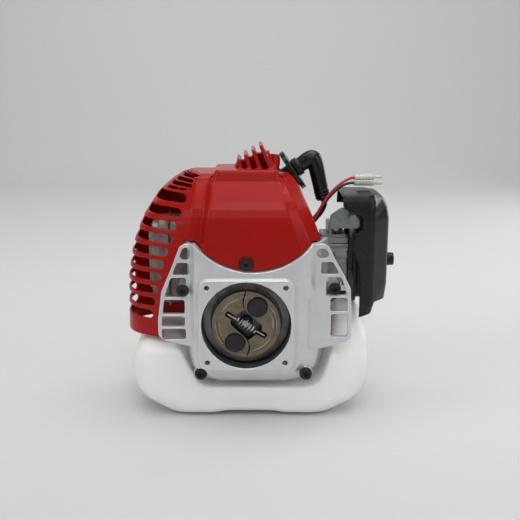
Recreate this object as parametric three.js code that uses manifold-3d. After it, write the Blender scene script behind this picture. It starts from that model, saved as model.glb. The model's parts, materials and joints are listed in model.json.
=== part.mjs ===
// Small two-stroke petrol engine of the kind that drives a brush cutter.
//
// Millimetres, +Z up. Inside the engine group the origin is the crankshaft axis at the face of the
// output flange: X runs to the engine's right as seen from the flange, Y runs back into the engine.
// The group stands the engine on its tank, with the origin under the middle of the whole object.
import * as THREE from 'three';
import { mergeVertices } from 'three/addons/utils/BufferGeometryUtils.js';
import ManifoldModule from 'manifold-3d';

const wasm = await ManifoldModule();
wasm.setup();

// ---------------------------------------------------------------- driving dimensions
const CRANK_HEIGHT = 118;
const CRANK_OFFSET_X = -16;
const FLANGE_Y = -92.5;

const BORE_RADIUS = 20.15;
const STROKE = 34;
const ROD_LENGTH = 68;
const CYLINDER_Y = 85;
const FIN_COUNT = 8;
const FIN_PITCH = 11;

const FLANGE_SIZE = 104;
const FLANGE_HOLE_SPACING = 86;
const FLANGE_HOLE_RADIUS = 3;
const CLUTCH_OPENING_RADIUS = 49.5;
const CLUTCH_RADIUS = 38;
const CLUTCH_PIVOT = [12.3, 20.5];
const CLUTCH_FRONT = 4;
const CLUTCH_BACK = 18;
const SPRING_HOOK = [20.6, -12.6];

const LIP_CENTRE = [8, 141];
const LIP_RADIUS = 82;
const COVER_WALL = 2.6;
const SLOT_COUNT = 10;
const SLOT_PITCH = 14.8;
const SLOT_HEIGHT = 8.6;

const WING_BOLTS = [[-70, 37], [97, 39]];
const EAR_BOLTS = [[-51, -60], [67, -60]];
const HOUSING_BOLTS = [...EAR_BOLTS, ...WING_BOLTS];
const COVER_SCREW = [0, 68];
const BOLT_RADIUS = 2.5;
const HOLE_CLEARANCE = 0.4;
const BOLT_SEAT = 14;
const BOLT_SEAT_RADIUS = 7.4;

const STARTER_RADIUS = 60;
const ROPE_COIL_RADIUS = 22;
const ROPE_RADIUS = 1.75;
const PLUG_ROOT = new THREE.Vector3(1.2, CYLINDER_Y, 123.6);
const PLUG_DIRECTION = new THREE.Vector3(0.82, 0, 0.57).normalize();

// ---------------------------------------------------------------- materials
function paint(color, roughness, metalness) {
  return new THREE.MeshStandardMaterial({ color, roughness, metalness });
}
const SILVER_PAINT = [0xc9cbd0, 0.42, 0.6];
const CAST_ALUMINIUM = [0xa9abad, 0.55, 0.85];
const STEEL = [0x8d8f92, 0.35, 1.0];
const DARK_STEEL = [0x3f4043, 0.5, 0.9];
const BRONZE = [0x6f6352, 0.6, 0.7];
const RED_PLASTIC = [0xae1a12, 0.25, 0.0];
const BLACK_PLASTIC = [0x2a2b2d, 0.5, 0.0];
const RUBBER = [0x1b1b1c, 0.7, 0.0];
const TANK_PLASTIC = [0xe6e4da, 0.45, 0.0];
const ZINC = [0x8f9a92, 0.45, 0.8];
const FOAM = [0x4b4f52, 1.0, 0.0];
const CLEAR_SLEEVE = [0xe9e2d2, 0.3, 0.0];
const ROPE = [0xd9d6cf, 0.9, 0.0];

// ---------------------------------------------------------------- outlines
const SMALL_RADIUS = 8.5;

// Corners [x, y, radius] become an outline whose corners are arcs of `steps` chords, or flats where the
// radius is small.
function rounded(corners, steps = 4) {
  const points = [];
  corners.forEach(([x, y, radius], i) => {
    const corner = new THREE.Vector2(x, y);
    const before = corners[(i + corners.length - 1) % corners.length];
    const after = corners[(i + 1) % corners.length];
    const toBefore = new THREE.Vector2(before[0] - x, before[1] - y);
    const toAfter = new THREE.Vector2(after[0] - x, after[1] - y);
    const room = 0.49 * Math.min(toBefore.length(), toAfter.length());
    toBefore.normalize();
    toAfter.normalize();
    const half = Math.acos(THREE.MathUtils.clamp(toBefore.dot(toAfter), -1, 1)) / 2;
    const reach = Math.min(radius / Math.tan(half), room);
    const arcRadius = reach * Math.tan(half);
    const inward = toBefore.clone().add(toAfter).normalize();
    const centre = corner.clone().addScaledVector(inward, arcRadius / Math.sin(half));
    const start = corner.clone().addScaledVector(toBefore, reach).sub(centre);
    const end = corner.clone().addScaledVector(toAfter, reach).sub(centre);
    const sweep = Math.atan2(start.cross(end), start.dot(end));
    const chords = radius < SMALL_RADIUS ? 1 : steps;
    for (let k = 0; k <= chords; k += 1) {
      const turn = start.clone().rotateAround(new THREE.Vector2(0, 0), (sweep * k) / chords);
      points.push(turn.add(centre));
    }
  });
  return points;
}

function rectangle(left, right, bottom, top, radius = 0.5, steps = 3) {
  const corners = [
    [left, bottom, radius], [right, bottom, radius],
    [right, top, radius], [left, top, radius],
  ];
  return rounded(corners, steps);
}

function outline(pairs) {
  return pairs.map(([x, y]) => new THREE.Vector2(x, y));
}

function circle(x, y, radius, sides = 16) {
  const points = [];
  for (let i = 0; i < sides; i += 1) {
    const angle = (i * 2 * Math.PI) / sides;
    points.push(new THREE.Vector2(x + radius * Math.cos(angle), y + radius * Math.sin(angle)));
  }
  return points;
}

// ---------------------------------------------------------------- closed bodies
function prism(points, depth, holes = []) {
  const shape = new THREE.Shape(points);
  shape.holes = holes.map((hole) => new THREE.Path(hole));
  return new THREE.ExtrudeGeometry(shape, { depth, bevelEnabled: false });
}

// An outline drawn in X and Z, extruded from y0 back to y1.
function alongY(points, y0, y1, holes) {
  const geometry = prism(points, y1 - y0, holes);
  geometry.rotateX(Math.PI / 2);
  return geometry.translate(0, y1, 0);
}

// An outline drawn in Y and Z, extruded from x0 to x1.
function alongX(points, x0, x1, holes) {
  const geometry = prism(points, x1 - x0, holes);
  geometry.applyMatrix4(new THREE.Matrix4().set(0, 0, 1, 0, 1, 0, 0, 0, 0, 1, 0, 0, 0, 0, 0, 1));
  return geometry.translate(x0, 0, 0);
}

// An outline drawn in X and Y, extruded from z0 up to z1.
function alongZ(points, z0, z1, holes) {
  return prism(points, z1 - z0, holes).translate(0, 0, z0);
}

function box(x0, x1, y0, y1, z0, z1) {
  const geometry = new THREE.BoxGeometry(x1 - x0, y1 - y0, z1 - z0);
  return geometry.translate((x0 + x1) / 2, (y0 + y1) / 2, (z0 + z1) / 2);
}

function rod(start, end, radius, sides = 16, endRadius = radius) {
  const from = new THREE.Vector3(...start);
  const span = new THREE.Vector3(...end).sub(from);
  const length = span.length();
  const geometry = new THREE.CylinderGeometry(endRadius, radius, length, sides);
  geometry.translate(0, length / 2, 0);
  const turn = new THREE.Quaternion().setFromUnitVectors(new THREE.Vector3(0, 1, 0), span.normalize());
  geometry.applyQuaternion(turn);
  return geometry.translate(from.x, from.y, from.z);
}

// A round body about the crank axis: the profile is [radius, y] pairs.
// A round bar along Y at [x, z].
function pin([x, z], radius, y0, y1, sides, endRadius) {
  return rod([x, y0, z], [x, y1, z], radius, sides, endRadius);
}

function turned(profile, sides = 32) {
  const points = profile.map(([radius, y]) => new THREE.Vector2(radius, y));
  return new THREE.LatheGeometry(points, sides);
}

function ring(innerRadius, outerRadius, y0, y1, sides = 32) {
  const profile = [
    [innerRadius, y0], [outerRadius, y0], [outerRadius, y1], [innerRadius, y1], [innerRadius, y0],
  ];
  return turned(profile, sides);
}

function disc(radius, y0, y1, sides = 32) {
  return turned([[0, y0], [radius, y0], [radius, y1], [0, y1]], sides);
}

function sweep(route, radius, sides = 8, steps = 24) {
  const path = new THREE.CatmullRomCurve3(route.map((point) => new THREE.Vector3(...point)));
  const section = new THREE.Shape(circle(0, 0, radius, sides));
  return new THREE.ExtrudeGeometry(section, { steps, bevelEnabled: false, extrudePath: path });
}

function signedArea(points) {
  return THREE.ShapeUtils.area(points);
}

// A skin over rings of equal point counts, closed by flat ends. `flat` drops a ring point to 2-D.
function loft(rings, flat) {
  const count = rings[0].length;
  const positions = rings.flat().flatMap((point) => [point.x, point.y, point.z]);
  const index = [];
  for (let i = 0; i + 1 < rings.length; i += 1) {
    for (let j = 0; j < count; j += 1) {
      const next = (j + 1) % count;
      const [a, b] = [i * count + j, i * count + next];
      const [c, d] = [(i + 1) * count + next, (i + 1) * count + j];
      index.push(a, b, c, a, c, d);
    }
  }
  const cap = (ringIndex, reversed) => {
    const outline = rings[ringIndex].map(flat);
    const whole = Math.sign(signedArea(outline));
    THREE.ShapeUtils.triangulateShape(outline, []).forEach(([a, b, c]) => {
      const same = Math.sign(signedArea([outline[a], outline[b], outline[c]])) === whole;
      const face = same === reversed ? [a, c, b] : [a, b, c];
      index.push(...face.map((vertex) => ringIndex * count + vertex));
    });
  };
  cap(0, true);
  cap(rings.length - 1, false);
  const geometry = new THREE.BufferGeometry();
  geometry.setAttribute('position', new THREE.Float32BufferAttribute(positions, 3));
  geometry.setIndex(index);
  return geometry;
}

function loftAlongY(slices) {
  const rings = slices.map(([y, points]) => points.map((p) => new THREE.Vector3(p.x, y, p.y)));
  return loft(rings, (point) => new THREE.Vector2(point.x, point.z));
}

function loftAlongZ(slices) {
  const rings = slices.map(([z, points]) => points.map((p) => new THREE.Vector3(p.x, p.y, z)));
  return loft(rings, (point) => new THREE.Vector2(point.x, point.y));
}

// ---------------------------------------------------------------- joining and cutting
function toSolid(geometry) {
  const plain = geometry.clone();
  plain.deleteAttribute('normal');
  plain.deleteAttribute('uv');
  const merged = mergeVertices(plain, 1e-3);
  const position = merged.attributes.position;
  const corner = (i) => new THREE.Vector3().fromBufferAttribute(position, i);
  let volume = 0;
  const triangles = [];
  for (let i = 0; i < merged.index.count; i += 3) {
    const [a, b, c] = [0, 1, 2].map((k) => merged.index.getX(i + k));
    if (a !== b && b !== c && c !== a) {
      triangles.push([a, b, c]);
      volume += corner(a).dot(corner(b).cross(corner(c)));
    }
  }
  const faced = triangles.flatMap(([a, b, c]) => (volume < 0 ? [a, c, b] : [a, b, c]));
  const triVerts = Uint32Array.from(faced);
  const vertProperties = Float32Array.from(position.array);
  return new wasm.Manifold(new wasm.Mesh({ numProp: 3, vertProperties, triVerts }));
}

function asSolid(body) {
  return body instanceof THREE.BufferGeometry ? toSolid(body) : body;
}

function join(...bodies) {
  return bodies.map(asSolid).reduce((sum, body) => sum.add(body));
}

function cut(body, ...tools) {
  return tools.map(asSolid).reduce((rest, tool) => rest.subtract(tool), asSolid(body));
}

function toGeometry(solid) {
  const mesh = solid.getMesh();
  const geometry = new THREE.BufferGeometry();
  geometry.setAttribute('position', new THREE.Float32BufferAttribute(mesh.vertProperties, 3));
  geometry.setIndex(Array.from(mesh.triVerts));
  geometry.computeVertexNormals();
  return geometry;
}

const engine = new THREE.Group();
engine.position.set(CRANK_OFFSET_X, FLANGE_Y, CRANK_HEIGHT);

function add(name, finish, body) {
  const mesh = new THREE.Mesh(toGeometry(asSolid(body)), paint(...finish));
  mesh.name = name;
  engine.add(mesh);
}

// ---------------------------------------------------------------- fan housing
// Sections of the dome behind the flange: [y, left, right, bottom, corner radius].
const DOME = [
  [8, -57, 58, -58, 14],
  [13, -61, 66, -65, 26],
  [24, -65, 82, -73, 36],
  [46, -65, 92, -76, 38],
];
const DOME_TOP = 100;
// The raised band under the cover's edge, from its face back into the dome: [y, left, right, bottom].
const LIP = [[4, -56, 62, 47], [8, -58, 70, 38], [14, -62, 76, 26], [20, -62, 76, 26]];

function domeSlice([y, left, right, bottom, radius], inset) {
  const corners = [
    [left + inset, bottom + inset, radius],
    [right - inset, bottom + inset, radius],
    [right - inset, DOME_TOP, 3],
    [left + inset, DOME_TOP, 3],
  ];
  return [y, rounded(corners, 3)];
}

// The wings' outer edges, from the top down: [x, z].
const LEFT_WING = [[-71.5, 89], [-82, 62], [-93.5, 35], [-98, 2], [-98, -19]];
const RIGHT_WING = [[89, 89], [97.5, 71], [107, 54.5], [115, 39], [117, 8], [117, -22]];
const WING_FRONT = BOLT_SEAT;
const WING_BACK = 21;

function edgeAt(edge, z) {
  for (let i = 0; i + 1 < edge.length; i += 1) {
    const [x0, z0] = edge[i];
    const [x1, z1] = edge[i + 1];
    if (z <= z0 && z >= z1) {
      return x0 + ((x1 - x0) * (z0 - z)) / (z0 - z1);
    }
  }
  return edge[edge.length - 1][0];
}

// A window between two bars of a wing, from the dome side to just inside the outer edge.
function wingWindow(edge, domeX, bottom, top, radius) {
  const rim = 4 * Math.sign(edge[0][0]);
  const corners = [
    [domeX, bottom, radius],
    [edgeAt(edge, bottom) - rim, bottom, radius],
    [edgeAt(edge, top) - rim, top, radius],
    [domeX, top, radius],
  ];
  return alongY(rounded(corners, 1), WING_FRONT - 1, WING_BACK + 1);
}

function fanHousing() {
  const dome = loftAlongY(DOME.map((section) => domeSlice(section, 0)));
  const hollow = loftAlongY([[12, 1], [24, 2], [47, 3]].map(([y, i]) => [y, domeSlice(DOME[i], 4)[1]]));
  const collar = ring(1, CLUTCH_OPENING_RADIUS + 4, 10, 19, 24);
  const half = FLANGE_SIZE / 2;
  const pad = alongY(rectangle(-half, half, -half, half, 10, 5), 0, 14);
  const lip = loftAlongY(LIP.map(([y, left, right, bottom]) => [y, rounded([
    [left, bottom, 8], [right, bottom, 8], [right, 96, 4], [left, 96, 4]], 1)]));
  const leftWing = [[-50, 89, 3], ...LEFT_WING.map(([x, z]) => [x, z, 6]), [-62, -29, 6], [-50, -29, 1]];
  const rightWing = [[70, 89, 3], ...RIGHT_WING.map(([x, z]) => [x, z, 6]), [86, -30, 6], [70, -30, 1]];
  const wings = [leftWing, rightWing].map((edge) => alongY(rounded(edge, 2), WING_FRONT, WING_BACK));
  const ears = EAR_BOLTS.map((place) => pin(place, 8, WING_FRONT, 46, 12));
  const wingBosses = WING_BOLTS.map((place) => pin(place, 6.5, WING_FRONT, 46, 10));
  const tab = box(-10, 10, 15, 21, 50, 79);
  const windows = [
    wingWindow(LEFT_WING, -62, 71, 85, 3),
    wingWindow(LEFT_WING, -63, 54, 68, 1.5),
    wingWindow(LEFT_WING, -66, 29, 51, 1.5),
    wingWindow(LEFT_WING, -68, 9.5, 26, 1.5),
    wingWindow(LEFT_WING, -68, -5, 7, 1.5),
    wingWindow(LEFT_WING, -67, -20, -8, 1.5),
    wingWindow(RIGHT_WING, 77, 73, 84, 3),
    wingWindow(RIGHT_WING, 82, 55, 69, 1.5),
    wingWindow(RIGHT_WING, 88, 31, 51.5, 1.5),
    wingWindow(RIGHT_WING, 93, 13, 28, 1.5),
    wingWindow(RIGHT_WING, 94, -17, 9.5, 1.5),
  ];
  const shell = join(cut(dome, hollow), collar, pad, lip, ...ears);
  const frames = cut(join(...wings), ...windows);
  const bosses = join(...wingBosses, box(-72, -60, 15.5, 20, 34, 40), box(90, 112, 15.5, 20, 36, 42));
  const whole = join(shell, frames, bosses, tab);
  const arc = pin(LIP_CENTRE, LIP_RADIUS, -2, 14.5, 48);
  const aboveArc = pin(LIP_CENTRE, LIP_RADIUS, 14.4, 60, 48);
  const throat = cut(aboveArc, box(-11, 11, 14, 22, 40, 80));
  const holes = HOUSING_BOLTS.map((place) => pin(place, BOLT_RADIUS + HOLE_CLEARANCE, -2, 60, 8));
  const spacing = FLANGE_HOLE_SPACING / 2;
  [[1, 1], [1, -1], [-1, 1], [-1, -1]].forEach(([sx, sz]) => {
    const [x, z] = [sx * spacing, sz * spacing];
    holes.push(pin([x, z], FLANGE_HOLE_RADIUS, -1, 13, 10));
    holes.push(pin([x, z], FLANGE_HOLE_RADIUS + 1.6, -1, 0.8, 10, FLANGE_HOLE_RADIUS));
  });
  const opening = disc(CLUTCH_OPENING_RADIUS, -2, 22, 36);
  const seats = HOUSING_BOLTS.map((place) => pin(place, BOLT_SEAT_RADIUS, -2, BOLT_SEAT, 10));
  const screwHole = pin(COVER_SCREW, 2.4, 10, 40, 12);
  const top = box(-130, 150, 6, 60, 89.5, 130);
  return cut(whole, arc, throat, opening, screwHole, top, ...seats, ...holes);
}
add('fan_housing', SILVER_PAINT, fanHousing());

// ---------------------------------------------------------------- crankcase
const CASE_JOINT_GAP = 0.35;
const WEB_RADIUS = 24.5;
const CASE_BASE_Z = 30;
const SHELL_CORNERS = [[-37, -39, 26], [37, -39, 26], [37, CASE_BASE_Z, 4], [-37, CASE_BASE_Z, 4]];

// The cavities that both halves share: crank chamber, bearing seat, shaft seal seat and shaft hole.
function crankSpaces(direction) {
  const at = (distance) => CYLINDER_Y + direction * distance;
  const bore = (radius, from, to, sides) => {
    const [y0, y1] = [at(from), at(to)].sort((a, b) => a - b);
    return disc(radius, y0, y1, sides);
  };
  return [
    bore(30, -1, 12.5, 20),
    bore(18.3, 12, 25, 16),
    bore(9, 24, 29, 12),
    bore(15.4, 27.5, 45, 16),
    rod([0, CYLINDER_Y, 5], [0, CYLINDER_Y, CASE_BASE_Z + 2], 21.2, 16),
  ];
}

function caseHoles(points, y0, y1) {
  return points.map((place) => pin(place, BOLT_RADIUS + HOLE_CLEARANCE, y0, y1, 8));
}

function crankcaseFront() {
  const [, plateOutline] = domeSlice(DOME[3], 0);
  const plate = cut(alongY(plateOutline, 46.4, 50.5), box(-100, 120, 40, 60, CASE_BASE_Z, 130));
  const lugs = WING_BOLTS.map(([x, z]) => {
    const inner = x < 0 ? -50 : 78;
    return alongY(rounded([[Math.min(x, inner) - 6, 14, 4], [Math.max(x, inner) + 6, 14, 4],
      [Math.max(x, inner) + 6, z + 7, 6], [Math.min(x, inner) - 6, z + 7, 6]], 2), 46.4, 50.5);
  });
  const shell = alongY(rounded(SHELL_CORNERS), 50, CYLINDER_Y - CASE_JOINT_GAP);
  const holes = caseHoles(HOUSING_BOLTS, 40, 60);
  return cut(join(plate, shell, ...lugs), ...crankSpaces(-1), ...holes);
}
add('crankcase_front', CAST_ALUMINIUM, crankcaseFront());

const STARTER_SCREWS = [45, 135, 225, 315].map((degrees) => {
  const angle = THREE.MathUtils.degToRad(degrees);
  return [(STARTER_RADIUS - 6) * Math.cos(angle), (STARTER_RADIUS - 6) * Math.sin(angle)];
});

function crankcaseRear() {
  const shell = alongY(rounded(SHELL_CORNERS), CYLINDER_Y + CASE_JOINT_GAP, 119.6);
  const flange = disc(STARTER_RADIUS, 115, 120, 24);
  return cut(join(shell, flange), ...crankSpaces(1), ...caseHoles(STARTER_SCREWS, 110, 125));
}
add('crankcase_rear', CAST_ALUMINIUM, crankcaseRear());

// Bearings, mirrored about the cylinder's centre plane.
[['front', -1], ['rear', 1]].forEach(([side, direction]) => {
  const at = (distance) => CYLINDER_Y + direction * distance;
  const span = (from, to) => [Math.min(at(from), at(to)), Math.max(at(from), at(to))];
  add(`${side}_main_bearing`, STEEL, ring(8, 17.4, ...span(13.7, 24.5), 16));
});

// ---------------------------------------------------------------- crankshaft, flywheel, nut
const TAPER = [[4.6, 19], [5.4, 22], [7.4, 42]];
add('crankshaft_front', STEEL, turned([
  [0, 10], [4.2, 10], [4.2, 19], ...TAPER, [7.4, 73], [WEB_RADIUS, 73], [WEB_RADIUS, 81], [0, 81],
], 24));
add('crankshaft_rear', STEEL, turned([
  [0, 89], [WEB_RADIUS, 89], [WEB_RADIUS, 97], [7.4, 97],
  [7.4, 123.5], [4.2, 123.5], [4.2, 134], [0, 134],
], 24));

const FLYWHEEL_RADIUS = 52;
const VANE_COUNT = 6;
function flywheel() {
  const wheel = turned([
    [5.7, 20], [38, 20], [40, 21.5], [49, 21.5], [FLYWHEEL_RADIUS, 24], [FLYWHEEL_RADIUS, 36],
    [46, 36], [44, 28], [14, 28], [13, 44], [8.2, 44], [8.2, 41], [5.9, 22.5], [5.7, 20],
  ], 28);
  const vanes = [];
  for (let i = 0; i < VANE_COUNT; i += 1) {
    const vane = box(15, 45, 27, 43, -1.1, 1.1);
    vane.rotateY((i * 2 * Math.PI) / VANE_COUNT);
    vanes.push(vane);
  }
  const magnet = box(40, 51.4, 26, 42, -14, 14);
  const pivots = [CLUTCH_PIVOT, CLUTCH_PIVOT.map((v) => -v)];
  const holes = pivots.map((place) => pin(place, 4.3, 15, 34, 14));
  return cut(join(wheel, ...vanes, magnet), ...holes);
}
add('flywheel', DARK_STEEL, flywheel());

function hexNut(acrossFlats, bore, y0, y1) {
  const corner = acrossFlats / Math.sqrt(3);
  return cut(alongY(circle(0, 0, corner, 6), y0, y1), disc(bore, y0 - 1, y1 + 1, 16));
}
add('flywheel_nut', DARK_STEEL, hexNut(12.5, 4.6, 10.5, 18.6));

// ---------------------------------------------------------------- clutch
// Half of a split disc: an S-shaped seam runs from the rim to the spring slot in the middle.
function clutchShoe(sign) {
  const shoe = disc(CLUTCH_RADIUS, CLUTCH_FRONT, CLUTCH_BACK, 36);
  const rim = ring(32, CLUTCH_RADIUS + 1, CLUTCH_FRONT - 1, CLUTCH_FRONT + 1.2, 36);
  const otherHalf = alongY(outline([
    [-0.4, 60], [-0.4, 36], [-2.6, 29], [-2.8, 22], [0, 16], [0.2, 0], [1.6, -17],
    [3.6, -22], [4, -29], [1.6, -36], [1.6, -60], [-60, -60], [-60, 60],
  ]), 0, 20);
  const slot = alongY(rounded([
    [-2, 18, 2], [17.5, -1, 2], [17, -6, 2], [2, -18.5, 2], [-17.5, 1, 2], [-17, 6, 2],
  ], 2), 0, 20);
  const groove = rod([-22, CLUTCH_FRONT + 1, 13.4], [22, CLUTCH_FRONT + 1, -13.4], 3.4, 10);
  const hookHole = pin(SPRING_HOOK, 2.3, 0, 20, 10);
  const boltHole = pin(CLUTCH_PIVOT, 4.5, 0, 20, 12);
  const capSeat = pin(CLUTCH_PIVOT, 11.1, 0, 6.6, 18);
  const half = cut(shoe, rim, otherHalf, slot, groove, hookHole, boltHole, capSeat);
  return sign > 0 ? half : half.rotate([0, 180, 0]);
}
add('clutch_shoe_a', BRONZE, clutchShoe(1));
add('clutch_shoe_b', BRONZE, clutchShoe(-1));

[['clutch_bolt_a', 1], ['clutch_bolt_b', -1]].forEach(([name, sign]) => {
  const place = CLUTCH_PIVOT.map((v) => sign * v);
  add(name, DARK_STEEL, join(pin(place, 10.4, 2.2, 6.2, 18), pin(place, 4, 6, 30, 12)));
});

// The spring's outer shape: the closed coil and the two hooks that reach the shoes.
function clutchSpring() {
  const along = (s) => [s * Math.cos(0.549), CLUTCH_FRONT + 1.4, -s * Math.sin(0.549)];
  const hooks = [1, -1].map((sign) => join(
    rod(along(sign * 8), along(sign * 23.6), 0.8, 6),
    pin(SPRING_HOOK.map((v) => sign * v), 0.8, 5, 11, 6),
  ));
  return join(rod(along(-9), along(9), 3.9, 10), ...hooks);
}
add('clutch_spring', STEEL, clutchSpring());

// ---------------------------------------------------------------- cylinder and piston
const BARREL_RADIUS = 26;
const PORT_Z = 74;
function plugAxis(distance) {
  return PLUG_ROOT.clone().addScaledVector(PLUG_DIRECTION, distance).toArray();
}

function upright(radius, z0, z1, sides, endRadius) {
  return rod([0, CYLINDER_Y, z0], [0, CYLINDER_Y, z1], radius, sides, endRadius);
}

function cylinder() {
  const foot = alongZ(rectangle(-30, 30, 57, 113, 6), CASE_BASE_Z + 1.1, 38);
  const fins = [];
  for (let i = 0; i < FIN_COUNT; i += 1) {
    const z = 50 + i * FIN_PITCH;
    fins.push(box(-46, 46, 53, 114.6, z, z + 2));
  }
  const exhaust = box(-52, -20, 71, 99, PORT_Z - 13, PORT_Z + 13);
  const intake = box(20, 50, 70, 98, 50, 78);
  const plugBoss = rod(plugAxis(0), plugAxis(21), 12, 14);
  const body = join(foot, upright(BARREL_RADIUS, 37, 128.5, 12), ...fins, exhaust, intake, plugBoss);
  const bore = upright(BORE_RADIUS, 20, 112.5, 24);
  const chamber = rod([0, CYLINDER_Y, 112], [0, CYLINDER_Y, 120], BORE_RADIUS, 24, 7);
  const plugSeat = rod(plugAxis(21), plugAxis(60), 12.6, 14);
  const exhaustPort = box(-60, -10, 76, 94, PORT_Z - 7, PORT_Z + 7);
  const intakePort = rod([10, 84, 64], [60, 84, 64], 8.5, 20);
  const plugHole = rod(plugAxis(-8), plugAxis(40), 7.3, 16);
  return cut(body, bore, chamber, exhaustPort, intakePort, plugSeat, plugHole);
}
add('cylinder', CAST_ALUMINIUM, cylinder());

const TOP_PIN_Z = STROKE / 2 + ROD_LENGTH;
const CROWN_Z = TOP_PIN_Z + 26;
const groove = cut(
  upright(21, CROWN_Z - 5.2, CROWN_Z - 2.8, 20),
  upright(17.6, CROWN_Z - 6, CROWN_Z - 2, 20),
);
function crosswise(radius, half, sides) {
  return disc(radius, CYLINDER_Y - half, CYLINDER_Y + half, sides).translate(0, 0, TOP_PIN_Z);
}
add('piston', CAST_ALUMINIUM, cut(
  upright(19.7, TOP_PIN_Z - 20, CROWN_Z, 20),
  upright(16.6, TOP_PIN_Z - 21, CROWN_Z - 6, 16),
  crosswise(5.5, 30, 14),
  groove,
));
add('piston_ring', STEEL, cut(
  upright(19.8, CROWN_Z - 4.8, CROWN_Z - 3.2, 20),
  upright(18, CROWN_Z - 6, CROWN_Z - 2, 20),
  box(-0.5, 0.5, 60, CYLINDER_Y, CROWN_Z - 8, CROWN_Z),
));
add('piston_pin', STEEL, crosswise(5, 18.5, 14));
add('connecting_rod', STEEL, cut(
  join(
    disc(10.5, 81.6, 88.4, 18).translate(0, 0, STROKE / 2),
    disc(8.3, 81.6, 88.4, 16).translate(0, 0, TOP_PIN_Z),
    alongY(rounded([
      [-6, STROKE / 2, 1], [6, STROKE / 2, 1], [4.4, TOP_PIN_Z, 1], [-4.4, TOP_PIN_Z, 1],
    ], 1), 82.6, 87.4),
  ),
  disc(7.1, 70, 100, 16).translate(0, 0, STROKE / 2),
  disc(5.5, 70, 100, 14).translate(0, 0, TOP_PIN_Z),
));
add('crankpin', STEEL, disc(6.5, 81.3, 88.7, 16).translate(0, 0, STROKE / 2));

// ---------------------------------------------------------------- ignition
add('spark_plug', [0xd8d4cc, 0.4, 0.1], join(
  rod(plugAxis(8), plugAxis(20), 6.8, 16),
  rod(plugAxis(21.4), plugAxis(34), 10.4, 6),
  rod(plugAxis(19.8), plugAxis(21.6), 6.8, 16),
  rod(plugAxis(33), plugAxis(55), 5.6, 16, 4.6),
  rod(plugAxis(54), plugAxis(60), 3, 12),
));
const BOOT_BEND = plugAxis(89);
const BOOT_END = [89, CYLINDER_Y, 126];
function plugBoot() {
  const straight = rod(plugAxis(38), BOOT_BEND, 8.4, 10);
  const leg = rod(BOOT_BEND, BOOT_END, 8.2, 10, 7.4);
  const elbow = new THREE.SphereGeometry(8.7, 10, 6).translate(...BOOT_BEND);
  const collar = rod(plugAxis(66.4), plugAxis(73), 10.8, 12);
  const pocket = join(rod(plugAxis(36), plugAxis(61), 6.1, 10), rod(plugAxis(60), plugAxis(63), 3.5, 12));
  const leadHole = rod([87.1, CYLINDER_Y, 132.3], [90.8, CYLINDER_Y, 120], 4.3, 12);
  return cut(join(straight, leg, elbow, collar), pocket, leadHole);
}
add('spark_plug_boot', RUBBER, plugBoot());
add('plug_sealing_disc', RUBBER, cut(
  rod(plugAxis(60.5), plugAxis(65.8), 24.5, 24),
  rod(plugAxis(50), plugAxis(80), 8.8, 12),
));

// The coil sits on the flywheel rim, with two pole shoes; the lead runs from it to the boot.
function ignitionCoil() {
  const body = box(-17, 17, 24, 41, 66, 88);
  const poles = [-15, 9].map((x) => box(x, x + 6, 28, 38, 53, 68));
  const nose = rod([0, 38, 80], [0, 46, 80], 6, 14);
  const geometry = cut(join(body, ...poles, nose), disc(FLYWHEEL_RADIUS + 0.5, 10, 60, 48));
  return geometry.rotate([0, 42, 0]);
}
add('ignition_coil', BLACK_PLASTIC, ignitionCoil());
add('ignition_lead', RUBBER, sweep([
  [53.6, 46.6, 59.5], [53.9, 51, 60], [58, 60, 70], [66, 72, 88],
  [79, 83, 103], [86.5, 85, 112], [90, 85, 121], [88, 85, 129],
], 3.4, 8, 14));

// ---------------------------------------------------------------- engine cover
// Horizontal sections: [z, left side, left crease, right crease, right side, front, back].
const COVER = [
  [-26, -139, -50, 63, 88, 8, 128],
  [40, -137.5, -50, 63, 88, 8, 128],
  [77, -131, -48, 60, 88, 10, 128],
  [108, -119, -43, 50, 76, 14.5, 127],
  [137, -99.5, -39, 40, 63, 25, 122],
  [150, -84, -38, 36.5, 57, 33, 117],
  [156, -74, -36, 35, 53, 37, 112],
];
const COVER_CROWN = [160, -62, -30, 31, 47, 44, 104];

function coverSlice([z, left, creaseLeft, creaseRight, right, front, back], inset, drop, steps) {
  const corners = [
    [right - inset, back - inset, 20],
    [left + inset, back - inset, 36],
    [left + inset, front + 50, 44],
    [creaseLeft - 18, front + 11 + inset, 3],
    [creaseLeft - 5, front + 10 + inset, 3],
    [creaseLeft, front + inset, 4],
    [creaseRight, front + inset, 4],
    [right - 13, front + 5 + inset, 4],
    [right - inset, front + 21, 5],
  ];
  return [z - drop, rounded(corners, steps)];
}

function coverBody(inset, steps) {
  const sides = COVER.map((section) => coverSlice(section, inset, 0, steps));
  return loftAlongZ([...sides, coverSlice(COVER_CROWN, inset, inset, steps)]);
}

function plateau(inset) {
  const foot = rounded([[-39, 33, 4], [38, 33, 4], [38, 98, 6], [-39, 98, 6]], 2);
  const shoulder = [[-35, 37, 5], [35, 37, 5], [35, 92, 7], [-35, 92, 7]];
  const shrink = ([x, y, r]) => [x - Math.sign(x) * inset, y < 60 ? y + inset : y - inset, r];
  const top = rounded(shoulder.map(shrink), 2);
  return loftAlongZ([[140, foot], [163 - inset, top], [166 - inset, rounded(shoulder.map(shrink), 2)
    .map((p) => new THREE.Vector2(p.x * 0.96, 64 + (p.y - 64) * 0.95))]]);
}

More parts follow.
